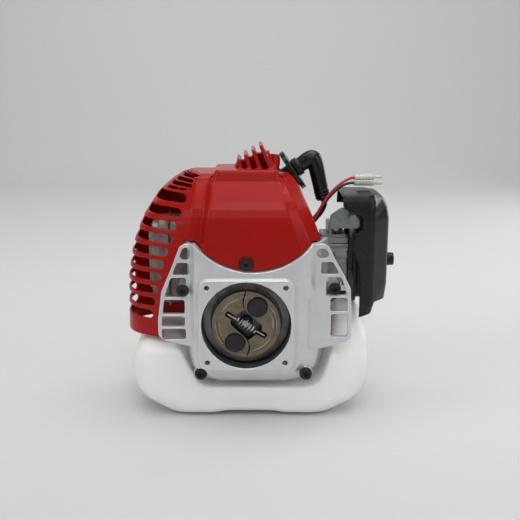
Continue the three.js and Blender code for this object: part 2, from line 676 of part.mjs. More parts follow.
// The hot-air outlet on top: leaning blades that grow towards the plug, on a ramp.
const BLADES = [[-6, -8.5, 177], [4.5, -1, 182], [16, 7.2, 187], [28.5, 15.5, 192]];
function topVent() {
  const ramp = alongY(outline([[-15, 164], [27, 164], [14, 186], [8, 182], [-15, 168]]), 54, 84);
  const blades = BLADES.map(([foot, tip, top]) => alongY(rounded([
    [foot - 2, 163, 0.8], [foot + 2, 163, 0.8], [tip + 2, top, 1.2], [tip - 2, top, 1.2],
  ], 1), 48, 88));
  const stub = rod([31, 74, 160], [33, 76, 179], 7, 16, 5.5);
  return join(ramp, ...blades, stub);
}

function slotOutline(x0, x1, z) {
  return rounded([[x0, z - SLOT_HEIGHT / 2, 4.2], [x1, z - SLOT_HEIGHT / 2, 4.2],
    [x1, z + SLOT_HEIGHT / 2, 4.2], [x0, z + SLOT_HEIGHT / 2, 4.2]], 1);
}

function coverCuts() {
  const tongue = pin(LIP_CENTRE, LIP_RADIUS - 0.8, -20, 60, 40);
  const arcOpening = cut(box(-66, 100, -10, 49, -60, 90.2), tongue);
  const behindWing = alongY(outline([
    [-60, 90.2], [-68, 90.2], [-78, 60], [-89.5, 34], [-94, 2], [-94, -60], [-60, -60],
  ]), -10, 49);
  const rightSide = join(box(62, 130, 30, 150, -60, 90.2), box(55, 130, 64, 106, 80, 132));
  const starter = join(pin([0, 0], STARTER_RADIUS + 7, 90, 150, 28), box(-66, 100, 90, 150, -60, 10));
  const cuts = [arcOpening, behindWing, rightSide, starter, box(-160, 160, -40, 200, -60, -25.6)];
  for (let i = 0; i < SLOT_COUNT; i += 1) {
    const z = 1 + i * SLOT_PITCH;
    const right = -106 + 40 * Math.pow(i / (SLOT_COUNT - 1), 1.25);
    const left = edgeAt([...COVER].reverse().map(([height, x]) => [x, height]), z) - 4;
    cuts.push(alongY(slotOutline(left, right, z), -20, 72));
    cuts.push(alongX(slotOutline(64, 112 - i * 2, z), -170, right - 8));
  }
  for (let i = 0; i < 4; i += 1) {
    cuts.push(box(-84, -54, 56 + i * 9, 60 + i * 9, 140, 170));
  }
  cuts.push(rod(plugAxis(20), plugAxis(110), 18, 14), rod(plugAxis(59.6), plugAxis(110), 25.6, 20));
  cuts.push(pin(COVER_SCREW, 2.9, 0, 60, 12));
  return cuts;
}

function engineCover() {
  const shell = cut(coverBody(0, 2), coverBody(COVER_WALL, 1), box(-120, 70, 60, 100, -60, -20));
  const withTop = cut(join(shell, plateau(0)), plateau(COVER_WALL));
  const openBelow = box(-100, 80, 62, 118, -40, 0);
  return cut(join(withTop, topVent()), openBelow, ...coverCuts());
}
add('engine_cover', RED_PLASTIC, engineCover());
add('engine_cover_screw', DARK_STEEL, join(
  pin(COVER_SCREW, 5, 2.8, 7.6, 16),
  pin(COVER_SCREW, 7.4, 7.4, 8.6, 20),
  pin(COVER_SCREW, 2.1, 8.4, 26, 12),
));

// ---------------------------------------------------------------- housing bolts
function housingBolt(place) {
  const face = BOLT_SEAT - 0.2;
  const head = pin(place, 5, face - 5, face, 12);
  const washer = pin(place, 6, face - 1, face, 14);
  const socket = alongY(circle(...place, 2.6, 6), face - 6, face - 2.5);
  return join(cut(join(head, washer), socket), pin(place, BOLT_RADIUS, face - 2, 56, 8));
}
add('wing_bolt_left', DARK_STEEL, housingBolt(WING_BOLTS[0]));
add('wing_bolt_right', DARK_STEEL, housingBolt(WING_BOLTS[1]));
add('ear_bolt_left', DARK_STEEL, housingBolt(EAR_BOLTS[0]));
add('ear_bolt_right', DARK_STEEL, housingBolt(EAR_BOLTS[1]));

// ---------------------------------------------------------------- exhaust
function muffler() {
  const half = (inset, x0, x1) => alongX(rounded([
    [60 + inset, 2 + inset, 14], [114 - inset, 2 + inset, 14],
    [114 - inset, 110 - inset, 14], [60 + inset, 110 - inset, 14],
  ], 3), x0, x1);
  const seam = half(0, -90, -88);
  const can = join(half(3, -100, -62), half(9, -109, -99), half(18, -113, -108), seam);
  const flange = box(-63, -53.3, 71, 99, PORT_Z - 13, PORT_Z + 13);
  const inside = join(half(6, -97, -65), half(12, -106, -96.5));
  const port = box(-68, -50, 76, 94, PORT_Z - 7, PORT_Z + 7);
  const outlet = rod([-95, 110, 22], [-95, 124, 22], 7, 16);
  const outletHole = rod([-95, 105, 22], [-95, 130, 22], 5.5, 16);
  return cut(join(can, flange, outlet), inside, port, outletHole);
}
add('muffler', STEEL, muffler());

// ---------------------------------------------------------------- intake
const CARB_Y = 84;
const CARB_Z = 64;
const inletBore = (x0, x1) => rod([x0, CARB_Y, CARB_Z], [x1, CARB_Y, CARB_Z], 8.6, 20);
add('intake_insulator', BLACK_PLASTIC, cut(
  join(box(50.4, 57, 69, 99, 49, 79), box(56, 76, 73, 95, 53, 75), box(75, 81.6, 66, 102, 46, 82)),
  inletBore(40, 90),
));
function carburettor() {
  const core = box(82, 117, 68, 100, 49, 77.6);
  const faces = box(84, 116, 66, 102, 50.5, 59);
  const ribs = [
    box(83, 99, 65, 68.5, 62, 68),
    box(101, 116, 65, 68.5, 62, 68),
    box(82, 117, 65, 68.5, 74, 77.6),
  ];
  const lower = box(82.6, 101.5, 65.4, 101, 35, 49.5);
  const lowerRight = box(102.5, 116.4, 66, 101, 35, 49.5);
  const neck = box(101, 103, 70, 98, 35, 49.5);
  const underside = box(86, 114, 70, 98, 31, 36);
  const bulbSeat = rod([100, CARB_Y, 20], [100, CARB_Y, 38.5], 12.4, 20);
  const screwHole = pin([109, 42], 2.9, 50, 72, 12);
  const body = join(core, faces, ...ribs, lower, lowerRight, neck, underside);
  return cut(body, bulbSeat, screwHole, inletBore(70, 130));
}
add('carburettor_body', CAST_ALUMINIUM, carburettor());
add('carburettor_cover', BLACK_PLASTIC, cut(
  join(box(84, 116, 67, 101, 78, 84), box(86, 114, 69, 99, 83, 88)),
  rod([104, CARB_Y, 76], [104, CARB_Y, 90], 3.6, 14),
));
function bulbWall(radius, z0, z1, endRadius) {
  return rod([100, CARB_Y, z0], [100, CARB_Y, z1], radius, 14, endRadius);
}
add('primer_bulb', RUBBER, cut(
  join(bulbWall(11.4, 23, 33.4, 11.8), bulbWall(9.6, 19.4, 23.2, 11.4), bulbWall(5.4, 17.4, 19.5, 9.6)),
  bulbWall(10, 24, 40),
  bulbWall(7.6, 20.6, 24.1, 10),
));
add('throttle_lever', ZINC, join(
  rod([104, CARB_Y, 77.9], [104, CARB_Y, 92], 3, 14),
  rod([104, CARB_Y, 90], [104, CARB_Y, 92.2], 7, 18),
  alongZ(rounded([[101, 84, 2], [107, 84, 2], [106, 66, 2.6], [100.5, 66, 2.6]], 3), 90, 92.2),
));
function throttleBracket() {
  const front = alongY(rounded([
    [93, 98, 1], [128, 97, 2], [128, 108, 3], [121, 116, 3], [107, 121, 3], [95, 112, 2],
  ], 3), 56, 62);
  const shelf = box(93.2, 122, 61, 82, 97.9, 101);
  const foot = box(93.3, 97, 66, 98, 88.3, 101);
  return cut(join(front, shelf, foot), pin([119, 111], 3.3, 50, 70, 14));
}
add('throttle_bracket', ZINC, throttleBracket());

// ---------------------------------------------------------------- air cleaner
add('air_filter_base', BLACK_PLASTIC, cut(
  join(
    alongX(rounded([[62, 8, 10], [114, 8, 10], [114, 118, 12], [62, 118, 12]], 3), 123, 127),
    box(117.4, 124, 68, 100, 46, 82),
    rod([126, 90, 54], [138, 90, 54], 5, 16),
  ),
  inletBore(110, 130),
  rod([120, 90, 54], [140, 90, 54], 2.2, 12),
));
add('air_filter_element', FOAM, cut(
  alongX(rounded([[66, 12, 8], [110, 12, 8], [110, 112, 8], [66, 112, 8]], 3), 127.4, 142),
  rod([120, 90, 54], [150, 90, 54], 6.5, 16),
));

// Horizontal sections: [z, right side, front, back, corner radius].
const CLEANER = [
  [-7, 134, 48, 118, 9],
  [-2, 147.5, 47, 120, 9],
  [10, 161, 46, 122, 12],
  [30, 163.5, 46, 122, 12],
  [108, 163.5, 46, 122, 12],
  [121, 161, 46.5, 120, 12],
  [130, 156, 47.5, 116, 12],
  [136.5, 148, 50, 108, 10],
];
function cleanerBody(inset, tallest, lowest) {
  const slices = CLEANER.map(([z, right, front, back, radius], i) => {
    const corners = [
      [100, front + inset, 0.5],
      [Math.min(142, right - 5) - inset / 2, front + inset, 6],
      [right - inset, front + 23, radius],
      [right - inset, back - 12, radius],
      [right - 12 - inset, back - inset, radius],
      [100, back - inset, 0.5],
    ];
    const height = THREE.MathUtils.clamp(z, lowest, tallest) + i * 1e-3;
    return [height, rounded(corners, 3)];
  });
  return loftAlongZ(slices);
}
const NOTCH = [
  [90, 150], [107.7, 150], [107.7, 123], [117, 115], [129.6, 114], [129.6, 97], [122, 92],
  [119.5, 84], [119.5, 74], [124, 63], [127, 55], [128.5, 40], [129, -20], [90, -20],
];
function airFilterCover() {
  const mouth = alongY(outline(NOTCH), 30, 66);
  const back = box(90, 117, 65, 140, -20, 116);
  const lower = box(90, 170, 52, 140, -20, 11);
  const knobHole = rod([140, 90, 54], [170, 90, 54], 3.2, 14);
  const slots = [0, 1, 2, 3].map((i) => box(126, 140, 56 + 7 * i, 59 + 7 * i, 128, 142));
  return cut(cleanerBody(0, 200, -50), cleanerBody(2.4, 133.6, -4), box(90, 107.7, 30, 140, -30, 160),
    mouth, back, lower, knobHole, ...slots);
}
add('air_filter_cover', BLACK_PLASTIC, airFilterCover());
function filterKnob() {
  const grip = rod([164, 90, 54], [173, 90, 54], 8, 18, 7.4);
  const flutes = [];
  for (let i = 0; i < 6; i += 1) {
    const angle = (i * Math.PI) / 3;
    const [y, z] = [90 + 9 * Math.cos(angle), 54 + 9 * Math.sin(angle)];
    flutes.push(rod([165.5, y, z], [175, y, z], 1.8, 6));
  }
  return join(cut(grip, ...flutes), rod([134, 90, 54], [164.2, 90, 54], 1.9, 12));
}
add('air_filter_knob', BLACK_PLASTIC, filterKnob());
add('choke_lever', BLACK_PLASTIC, join(
  rod([111, 94, 89], [111, 94, 96.6], 2.6, 12),
  alongZ(rounded([[108, 91, 2], [114, 91, 2], [113, 121, 2], [108.5, 121, 2]], 3), 93.5, 96.5),
));

// ---------------------------------------------------------------- fuel tank
// The lowest corners first, then up the right lobe, across the hollow under the engine, and the left
// lobe: [x, z, radius]. SHOULDER marks the right lobe's top, which drops towards the front.
const SHOULDER = 8;
const TANK_OUTLINE = [
  [-86, -118, 34], [-38, -118, 8], [-28, -115, 8], [36, -115, 8], [46, -118, 8], [94, -118, 34],
  [139, -94, 44], [142, SHOULDER - 30, 34], [126, SHOULDER, 14], [99, SHOULDER - 1, 8],
];
const TANK_HOLLOW = [[97, -36, 14], [83, -80.5, 20], [-52, -80.5, 20], [-70.5, -44, 8]];
const TANK_LEFT = [[-72, -29, 8], [-122, -29, 18], [-132, -52, 30], [-130, -94, 44]];
// Sections from front to back: [y, size, shoulder height].
const TANK_SECTIONS = [
  [22, 0.8, -46], [26, 0.9, -40], [36, 0.975, -28], [52, 1, -11],
  [76, 1, SHOULDER], [138, 1, SHOULDER], [158, 0.84, -12],
];
const TANK_CENTRE = [4, -76];
const TANK_WALL = 2.6;

function tankSlice([y, size, shoulder], inset, towardMiddle, steps) {
  const sizeX = size - inset / 120;
  const sizeZ = size - inset / 46;
  const scaled = ([x, z, radius]) => {
    const height = z > -40 && x > 0 ? z - SHOULDER + shoulder : z;
    const keptX = Math.abs(x) < 100 && z > -40;
    return [
      keptX ? x + Math.sign(x) * inset : TANK_CENTRE[0] + (x - TANK_CENTRE[0]) * sizeX,
      TANK_CENTRE[1] + (height - TANK_CENTRE[1]) * sizeZ,
      radius,
    ];
  };
  const hollow = TANK_HOLLOW.map(([x, z, radius]) => [x + Math.sign(x) * inset, z - inset, radius]);
  const corners = [...TANK_OUTLINE.map(scaled), ...hollow, ...TANK_LEFT.map(scaled)];
  return [y + inset * towardMiddle, rounded(corners, steps)];
}

function tankBody(sections, inset, steps) {
  const slices = sections.map((section, i) => {
    const towardMiddle = Math.sign(sections.length / 2 - i - 0.5);
    return tankSlice(section, inset, towardMiddle, steps);
  });
  return loftAlongY(slices);
}

const NECK = [-98, -62];
const HOSE_GROMMET = [114, 108];
function fuelTank() {
  const neck = pin(NECK, 17, 150, 170, 20);
  const bore = pin(NECK, 13.5, 145, 175, 16);
  const hoseHole = rod([...HOSE_GROMMET, -10], [...HOSE_GROMMET, 20], 5.4, 16);
  const inner = TANK_SECTIONS.filter((section, i) => i % 2 === 0);
  return cut(join(tankBody(TANK_SECTIONS, 0, 3), neck), tankBody(inner, TANK_WALL, 2), bore, hoseHole);
}
add('fuel_tank', TANK_PLASTIC, fuelTank());
function aboutNeck(inner, outer, y0, y1, sides) {
  return ring(inner, outer, y0, y1, sides).translate(NECK[0], 0, NECK[1]);
}
add('fuel_cap_seal', RUBBER, aboutNeck(14, 16.8, 170.4, 172.4, 16));
function fuelCap() {
  const shell = cut(
    disc(21.5, 160, 181, 18).translate(NECK[0], 0, NECK[1]),
    disc(17.8, 150, 174, 16).translate(NECK[0], 0, NECK[1]),
  );
  const grips = [];
  for (let i = 0; i < 6; i += 1) {
    const angle = (i * Math.PI) / 3;
    const [x, z] = [NECK[0] + 21.4 * Math.cos(angle), NECK[1] + 21.4 * Math.sin(angle)];
    grips.push(pin([x, z], 2, 160, 180, 6));
  }
  return join(shell, ...grips, box(NECK[0] - 16, NECK[0] + 16, 180, 185, NECK[1] - 2.5, NECK[1] + 2.5));
}
add('fuel_cap', BLACK_PLASTIC, fuelCap());
add('hose_grommet', RUBBER, join(
  rod([...HOSE_GROMMET, 8.9], [...HOSE_GROMMET, 13], 8.5, 20),
  rod([...HOSE_GROMMET, -1], [...HOSE_GROMMET, 9.2], 5, 16),
));
add('fuel_hose', [0xb9b48a, 0.4, 0], sweep([
  [111, 107, 13.4], [111, 107.5, 22], [107, 110, 33], [99, 109, 41], [98, 101.5, 42],
], 2.5, 8, 14));

// ---------------------------------------------------------------- recoil starter
const LOUVRE_COUNT = 5;
const STARTER_WALL = 2.6;
function recoilHousing() {
  const inner = STARTER_RADIUS - STARTER_WALL;
  const wall = turned([
    [0, 165], [46, 165], [STARTER_RADIUS - 4, 160], [STARTER_RADIUS, 152], [STARTER_RADIUS, 120.4],
    [inner, 120.4], [inner, 151.6], [STARTER_RADIUS - 6, 158.2], [45, 162.4], [0, 162.4],
  ], 24);
  const post = disc(5.4, 134.8, 163, 12);
  const cans = STARTER_SCREWS.map((place) => pin(place, 6.5, 120.4, 130, 8));
  const eyelet = rod([-ROPE_COIL_RADIUS, 145, 52], [-ROPE_COIL_RADIUS, 145, 64], 6.5, 18);
  const louvres = [];
  for (let i = 0; i < LOUVRE_COUNT; i += 1) {
    const louvre = alongY(rectangle(-2.6, 2.6, 20, 42, 2.2, 1), 160, 168);
    louvre.rotateY((i * 2 * Math.PI) / LOUVRE_COUNT);
    louvres.push(louvre);
  }
  const ropeWay = rod([-ROPE_COIL_RADIUS, 145, 40], [-ROPE_COIL_RADIUS, 145, 70], 2.8, 14);
  const insideWall = disc(STARTER_RADIUS - 10, 120, 131, 20);
  const screwWays = STARTER_SCREWS.map((place) => pin(place, BOLT_RADIUS + 0.3, 100, 126.5, 6));
  return cut(join(cut(join(wall, ...cans), insideWall), post, eyelet), ropeWay, ...louvres, ...screwWays);
}
add('recoil_housing', BLACK_PLASTIC, recoilHousing());
add('starter_cup', DARK_STEEL, cut(
  turned([[4.6, 124], [22, 124], [22, 132], [19.4, 132], [19.4, 126.4], [4.6, 126.4], [4.6, 124]], 24),
  box(-3, 3, 123, 134, 15, 24),
  box(-3, 3, 123, 134, -24, -15),
));
add('recoil_reel', BLACK_PLASTIC, cut(
  turned([[6, 135.6], [35, 135.6], [35, 138], [17, 138], [17, 150.5], [35, 150.5], [35, 152.6],
    [6, 152.6], [6, 135.6]], 20),
  rod([12, 130, 0], [12, 140, 0], 2.2, 12),
));
add('starter_pawl', DARK_STEEL, join(
  rod([12, 133, 0], [12, 138.4, 0], 1.8, 12),
  alongY(rounded([[9, -3, 2], [15, -3, 2], [16.6, 4, 1], [14, 10, 1], [11, 4, 2]], 3), 132.6, 135.2),
));
add('recoil_spring', STEEL, ring(13, 29.5, 153.6, 160.5, 20));
add('rope_coil', ROPE, ring(17.6, ROPE_COIL_RADIUS + 5, 138.5, 150, 20));
add('rope_end', ROPE, rod([-ROPE_COIL_RADIUS, 145, 18.8], [-ROPE_COIL_RADIUS, 145, 66.2], ROPE_RADIUS, 10));

function starterHandle() {
  const cx = -ROPE_COIL_RADIUS;
  const grip = alongY(rounded([[cx - 9, 66.5, 3], [cx + 9, 66.5, 3], [cx + 12, 78, 6], [cx + 40, 82, 6],
    [cx + 40, 98, 8], [cx - 40, 98, 8], [cx - 40, 82, 6], [cx - 12, 78, 6]], 4), 134, 156);
  const flatFront = rounded([
    [130, 60, 1], [137, 60, 1], [134.2, 82, 1], [134.2, 110, 1], [130, 110, 1],
  ], 1);
  return cut(grip, alongX(flatFront, -80, 40));
}
add('starter_handle', RUBBER, starterHandle());

// ---------------------------------------------------------------- stop-switch leads
// Each route runs from the edge of the engine cover up and over to its bullet connector.
const RED_ROUTE = [
  [75, 68, 101], [80, 68, 111], [89, 68.5, 127], [98, 69.5, 138.5],
  [108, 71.5, 147], [117, 74, 151.5], [122, 75.5, 152.5],
];
const BLACK_ROUTE = [
  [74.5, 73, 99], [80.5, 73.5, 109], [91, 75, 125], [101, 77.5, 136],
  [111, 80.5, 143], [119, 83, 145], [123, 84.2, 145],
];
const WIRE_RADIUS = 1.5;
add('red_wire', [0xb3201a, 0.45, 0], sweep(RED_ROUTE, WIRE_RADIUS, 8, 14));
add('black_wire', [0x222224, 0.5, 0], sweep(BLACK_ROUTE, WIRE_RADIUS, 8, 14));
function bulletConnector([x, y, z], [dx, dy, dz]) {
  const direction = new THREE.Vector3(dx, dy, dz).normalize();
  const at = (s) => [x + direction.x * s, y + direction.y * s, z + direction.z * s];
  return join(rod(at(0.35), at(24), 3.1, 14, 3.4), rod(at(23.9), at(34), 2.1, 12));
}
add('red_connector', CLEAR_SLEEVE, bulletConnector(RED_ROUTE.at(-1), [1, 0.3, -0.02]));
add('black_connector', CLEAR_SLEEVE, bulletConnector(BLACK_ROUTE.at(-1), [1, 0.25, -0.04]));

export default engine;
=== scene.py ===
import json
import math

import bmesh
import bpy
import numpy as np
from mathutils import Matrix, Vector


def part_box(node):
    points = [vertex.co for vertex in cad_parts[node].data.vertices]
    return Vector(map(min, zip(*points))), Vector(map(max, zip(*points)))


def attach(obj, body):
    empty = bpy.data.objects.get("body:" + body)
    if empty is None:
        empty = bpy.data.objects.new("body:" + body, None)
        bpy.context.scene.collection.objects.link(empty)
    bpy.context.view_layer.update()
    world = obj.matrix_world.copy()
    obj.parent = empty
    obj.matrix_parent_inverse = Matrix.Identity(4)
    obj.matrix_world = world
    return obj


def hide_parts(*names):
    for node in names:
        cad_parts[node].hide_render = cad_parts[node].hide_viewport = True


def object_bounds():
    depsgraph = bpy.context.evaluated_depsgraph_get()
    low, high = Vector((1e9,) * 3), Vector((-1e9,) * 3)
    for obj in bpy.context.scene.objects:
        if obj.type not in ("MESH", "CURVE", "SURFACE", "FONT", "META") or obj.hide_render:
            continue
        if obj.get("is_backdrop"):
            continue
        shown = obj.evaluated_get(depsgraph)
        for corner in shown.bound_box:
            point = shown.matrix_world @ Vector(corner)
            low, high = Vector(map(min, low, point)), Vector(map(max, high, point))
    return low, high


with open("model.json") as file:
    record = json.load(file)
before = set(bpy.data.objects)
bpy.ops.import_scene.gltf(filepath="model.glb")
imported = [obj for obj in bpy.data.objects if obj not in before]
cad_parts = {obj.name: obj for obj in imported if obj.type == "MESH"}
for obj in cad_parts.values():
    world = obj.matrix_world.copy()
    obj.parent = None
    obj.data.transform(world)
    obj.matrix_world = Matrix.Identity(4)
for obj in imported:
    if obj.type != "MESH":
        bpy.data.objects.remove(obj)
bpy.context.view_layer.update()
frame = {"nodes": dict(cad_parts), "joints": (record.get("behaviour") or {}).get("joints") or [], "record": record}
MM = 0.001

# The engine's own millimetre frame: crankshaft axis at the face of the output flange.
crank_joint = next(j for j in frame["joints"] if j["name"] == "crank_spin")
AXIS = Vector((crank_joint["pos_m"][0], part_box("fan_housing")[0].y, crank_joint["pos_m"][2]))


def at(x, y, z):
    return AXIS + Vector((x, y, z)) * MM


# ---------------------------------------------------------------- camera
CAMERA_DISTANCE = 940
CAMERA_ELEVATION = math.radians(18.5)
CAMERA_PITCH = math.radians(14.9)
camera_data = bpy.data.cameras.new("camera")
camera_data.sensor_width = 36
camera_data.lens = 59.35
camera_data.shift_x = 0.0265
camera_data.shift_y = 0.024
camera = bpy.data.objects.new("camera", camera_data)
camera.location = at(0, -CAMERA_DISTANCE * math.cos(CAMERA_ELEVATION), CAMERA_DISTANCE * math.sin(CAMERA_ELEVATION))
camera.rotation_euler = (math.pi / 2 - CAMERA_PITCH, 0, 0)
bpy.context.scene.collection.objects.link(camera)
bpy.context.scene.camera = camera


# ---------------------------------------------------------------- materials
def material(name, color, rough, metal=0.0, vary=0.12, vary_scale=60, bump=0.15, bump_scale=900,
             bump_depth=0.0002, edge=None, coat=0.0, rough_vary=0.08, **sockets):
    m = bpy.data.materials.new(name)
    m.use_nodes = True
    tree = m.node_tree
    nodes, links = tree.nodes, tree.links
    shader = nodes["Principled BSDF"]
    shader.inputs["Metallic"].default_value = metal
    shader.inputs["Coat Weight"].default_value = coat
    shader.inputs["Coat Roughness"].default_value = 0.08
    for socket, value in sockets.items():
        shader.inputs[socket.replace("_", " ")].default_value = value
    coords = nodes.new("ShaderNodeTexCoord")

    def noise(scale, detail=4):
        n = nodes.new("ShaderNodeTexNoise")
        n.inputs["Scale"].default_value = scale
        n.inputs["Detail"].default_value = detail
        links.new(coords.outputs["Object"], n.inputs["Vector"])
        return n

    def ramp(source, low, high, first, last):
        r = nodes.new("ShaderNodeMapRange")
        r.inputs["From Min"].default_value = low
        r.inputs["From Max"].default_value = high
        r.inputs["To Min"].default_value = first
        r.inputs["To Max"].default_value = last
        links.new(source, r.inputs["Value"])
        return r.outputs["Result"]

    def mix(factor, first, second):
        n = nodes.new("ShaderNodeMix")
        n.data_type = "RGBA"
        links.new(factor, n.inputs["Factor"])
        for socket, value in (("A", first), ("B", second)):
            target = next(i for i in n.inputs if i.name == socket and i.type == "RGBA")
            if isinstance(value, bpy.types.NodeSocket):
                links.new(value, target)
            else:
                target.default_value = (*value, 1)
        return next(o for o in n.outputs if o.type == "RGBA")

    broad = noise(vary_scale)
    dark = [c * (1 - vary) for c in color]
    light = [min(1, c * (1 + vary)) for c in color]
    shade = mix(ramp(broad.outputs["Fac"], 0.3, 0.7, 0, 1), dark, light)
    geometry = nodes.new("ShaderNodeNewGeometry")
    # Convex edges (high pointiness) get a lighter colour: partly wear, partly a painted highlight along the edges.
    if edge:
        edge_color, low, high, most = edge
        edge_wear_and_highlight = ramp(geometry.outputs["Pointiness"], low, high, 0, most)
        shade = mix(edge_wear_and_highlight, shade, edge_color)
    links.new(shade, shader.inputs["Base Color"])
    fine = noise(bump_scale, 6)
    roughness = ramp(fine.outputs["Fac"], 0.25, 0.75, rough - rough_vary, rough + rough_vary)
    links.new(roughness, shader.inputs["Roughness"])
    b = nodes.new("ShaderNodeBump")
    b.inputs["Strength"].default_value = bump
    b.inputs["Distance"].default_value = bump_depth
    links.new(fine.outputs["Fac"], b.inputs["Height"])
    links.new(b.outputs["Normal"], shader.inputs["Normal"])
    return m


# The edge colours below paint convex edges lighter: partly wear, partly a painted highlight.
RED = material("red_plastic", (0.36, 0.006, 0.003), 0.24, vary=0.06, vary_scale=20, bump=0.05, bump_scale=500,
               rough_vary=0.04, edge=((0.55, 0.03, 0.02), 0.53, 0.6, 0.35), Specular_IOR_Level=0.22)
SILVER = material("silver_paint", (0.66, 0.67, 0.68), 0.34, 0.5, vary=0.05, bump=0.2, bump_scale=1400,
                  bump_depth=0.0001, edge=((0.92, 0.93, 0.96), 0.515, 0.57, 0.8))
CAST = material("cast_aluminium", (0.33, 0.33, 0.335), 0.5, 0.85, vary=0.15, bump=0.5, bump_scale=700)
STEEL = material("ground_steel", (0.50, 0.50, 0.51), 0.32, 1.0, vary=0.12, bump=0.15, bump_scale=1600)
BLACK_STEEL = material("black_steel", (0.03, 0.03, 0.033), 0.42, 0.7, vary=0.3, bump=0.25, bump_scale=1200,
                       edge=((0.2, 0.2, 0.21), 0.53, 0.62, 0.5))
BRONZE = material("sintered_bronze", (0.19, 0.157, 0.105), 0.55, 0.75, vary=0.2, vary_scale=120, bump=0.6,
                  bump_scale=1500, edge=((0.5, 0.45, 0.38), 0.52, 0.6, 0.5))
BLACK = material("black_plastic", (0.022, 0.022, 0.024), 0.45, vary=0.2, bump=0.35, bump_scale=1100,
                 edge=((0.07, 0.07, 0.075), 0.52, 0.62, 0.6))
RUBBER = material("rubber", (0.014, 0.014, 0.015), 0.5, vary=0.25, bump=0.3, bump_scale=900)
TANK = material("tank_plastic", (0.93, 0.925, 0.90), 0.38, vary=0.015, vary_scale=15, bump=0.1, bump_scale=300,
                Subsurface_Weight=0.25, Subsurface_Scale=0.004)
ZINC = material("zinc_plate", (0.25, 0.28, 0.26), 0.38, 0.85, vary=0.18, vary_scale=180, bump=0.2, bump_scale=900)
BRASS = material("brass", (0.55, 0.40, 0.16), 0.35, 1.0, vary=0.15, bump=0.2)
FOAM = material("filter_foam", (0.06, 0.065, 0.07), 0.95, vary=0.4, vary_scale=900, bump=1.0, bump_scale=1500,
                bump_depth=0.0006, rough_vary=0.04)
SLEEVE = material("clear_sleeve", (0.80, 0.77, 0.68), 0.28, vary=0.06, bump=0.1, Transmission_Weight=0.35)
BULB = material("bulb_rubber", (0.72, 0.70, 0.60), 0.25, vary=0.05, bump=0.05, Transmission_Weight=0.5)
ROPE = material("braided_rope", (0.62, 0.61, 0.57), 0.85, vary=0.35, vary_scale=1400, bump=0.9, bump_scale=1300,
                bump_depth=0.0004)
RED_WIRE = material("red_insulation", (0.5, 0.02, 0.02), 0.35, vary=0.08, bump=0.05)
BLACK_WIRE = material("black_insulation", (0.02, 0.02, 0.022), 0.35, vary=0.2, bump=0.05)
HOT_STEEL = material("heated_steel", (0.30, 0.28, 0.25), 0.5, 0.8, vary=0.35, vary_scale=70, bump=0.3)
HOSE = material("clear_hose", (0.42, 0.37, 0.20), 0.25, vary=0.1, bump=0.05, Transmission_Weight=0.35)
GASKET = material("gasket_paper", (0.10, 0.11, 0.10), 0.85, vary=0.3, vary_scale=500, bump=0.5)
FLYWHEEL_BLACK_AND_BORE_SHADE = material("flywheel_black", (0.17, 0.17, 0.175), 0.38, 0.75, vary=0.35, vary_scale=90, bump=0.3)
# The front crankcase is painted far darker than the cast aluminium: painted shade for the interior seen through the
# wing windows.
SHADE_PAINTED_CAST = material("shaded_cast", (0.10, 0.10, 0.105), 0.55, 0.6, vary=0.2, bump=0.4, bump_scale=700)
# Near-black finish for recesses: painted shade inside sockets and behind the clutch shoes.
PAINTED_HOLLOW_SHADE = material("painted_hollow_shade", (0.012, 0.011, 0.01), 0.6, 0.3, vary=0.3, bump=0.3)
LETTER_BRONZE = material("worn_bronze", (0.36, 0.31, 0.24), 0.5, 0.75, vary=0.3, vary_scale=300, bump=0.5)
CLEANER_BLACK = material("cleaner_black", (0.009, 0.008, 0.011), 0.27, vary=0.2, bump=0.12, bump_scale=1300,
                         edge=((0.03, 0.03, 0.033), 0.53, 0.62, 0.4), Specular_IOR_Level=0.35)
BOOT_RUBBER = material("boot_rubber", (0.004, 0.004, 0.005), 0.22, vary=0.3, bump=0.08, Specular_IOR_Level=0.4)
SPRING_STEEL = material("spring_steel", (0.50, 0.45, 0.41), 0.32, 1.0, vary=0.2, bump=0.1)

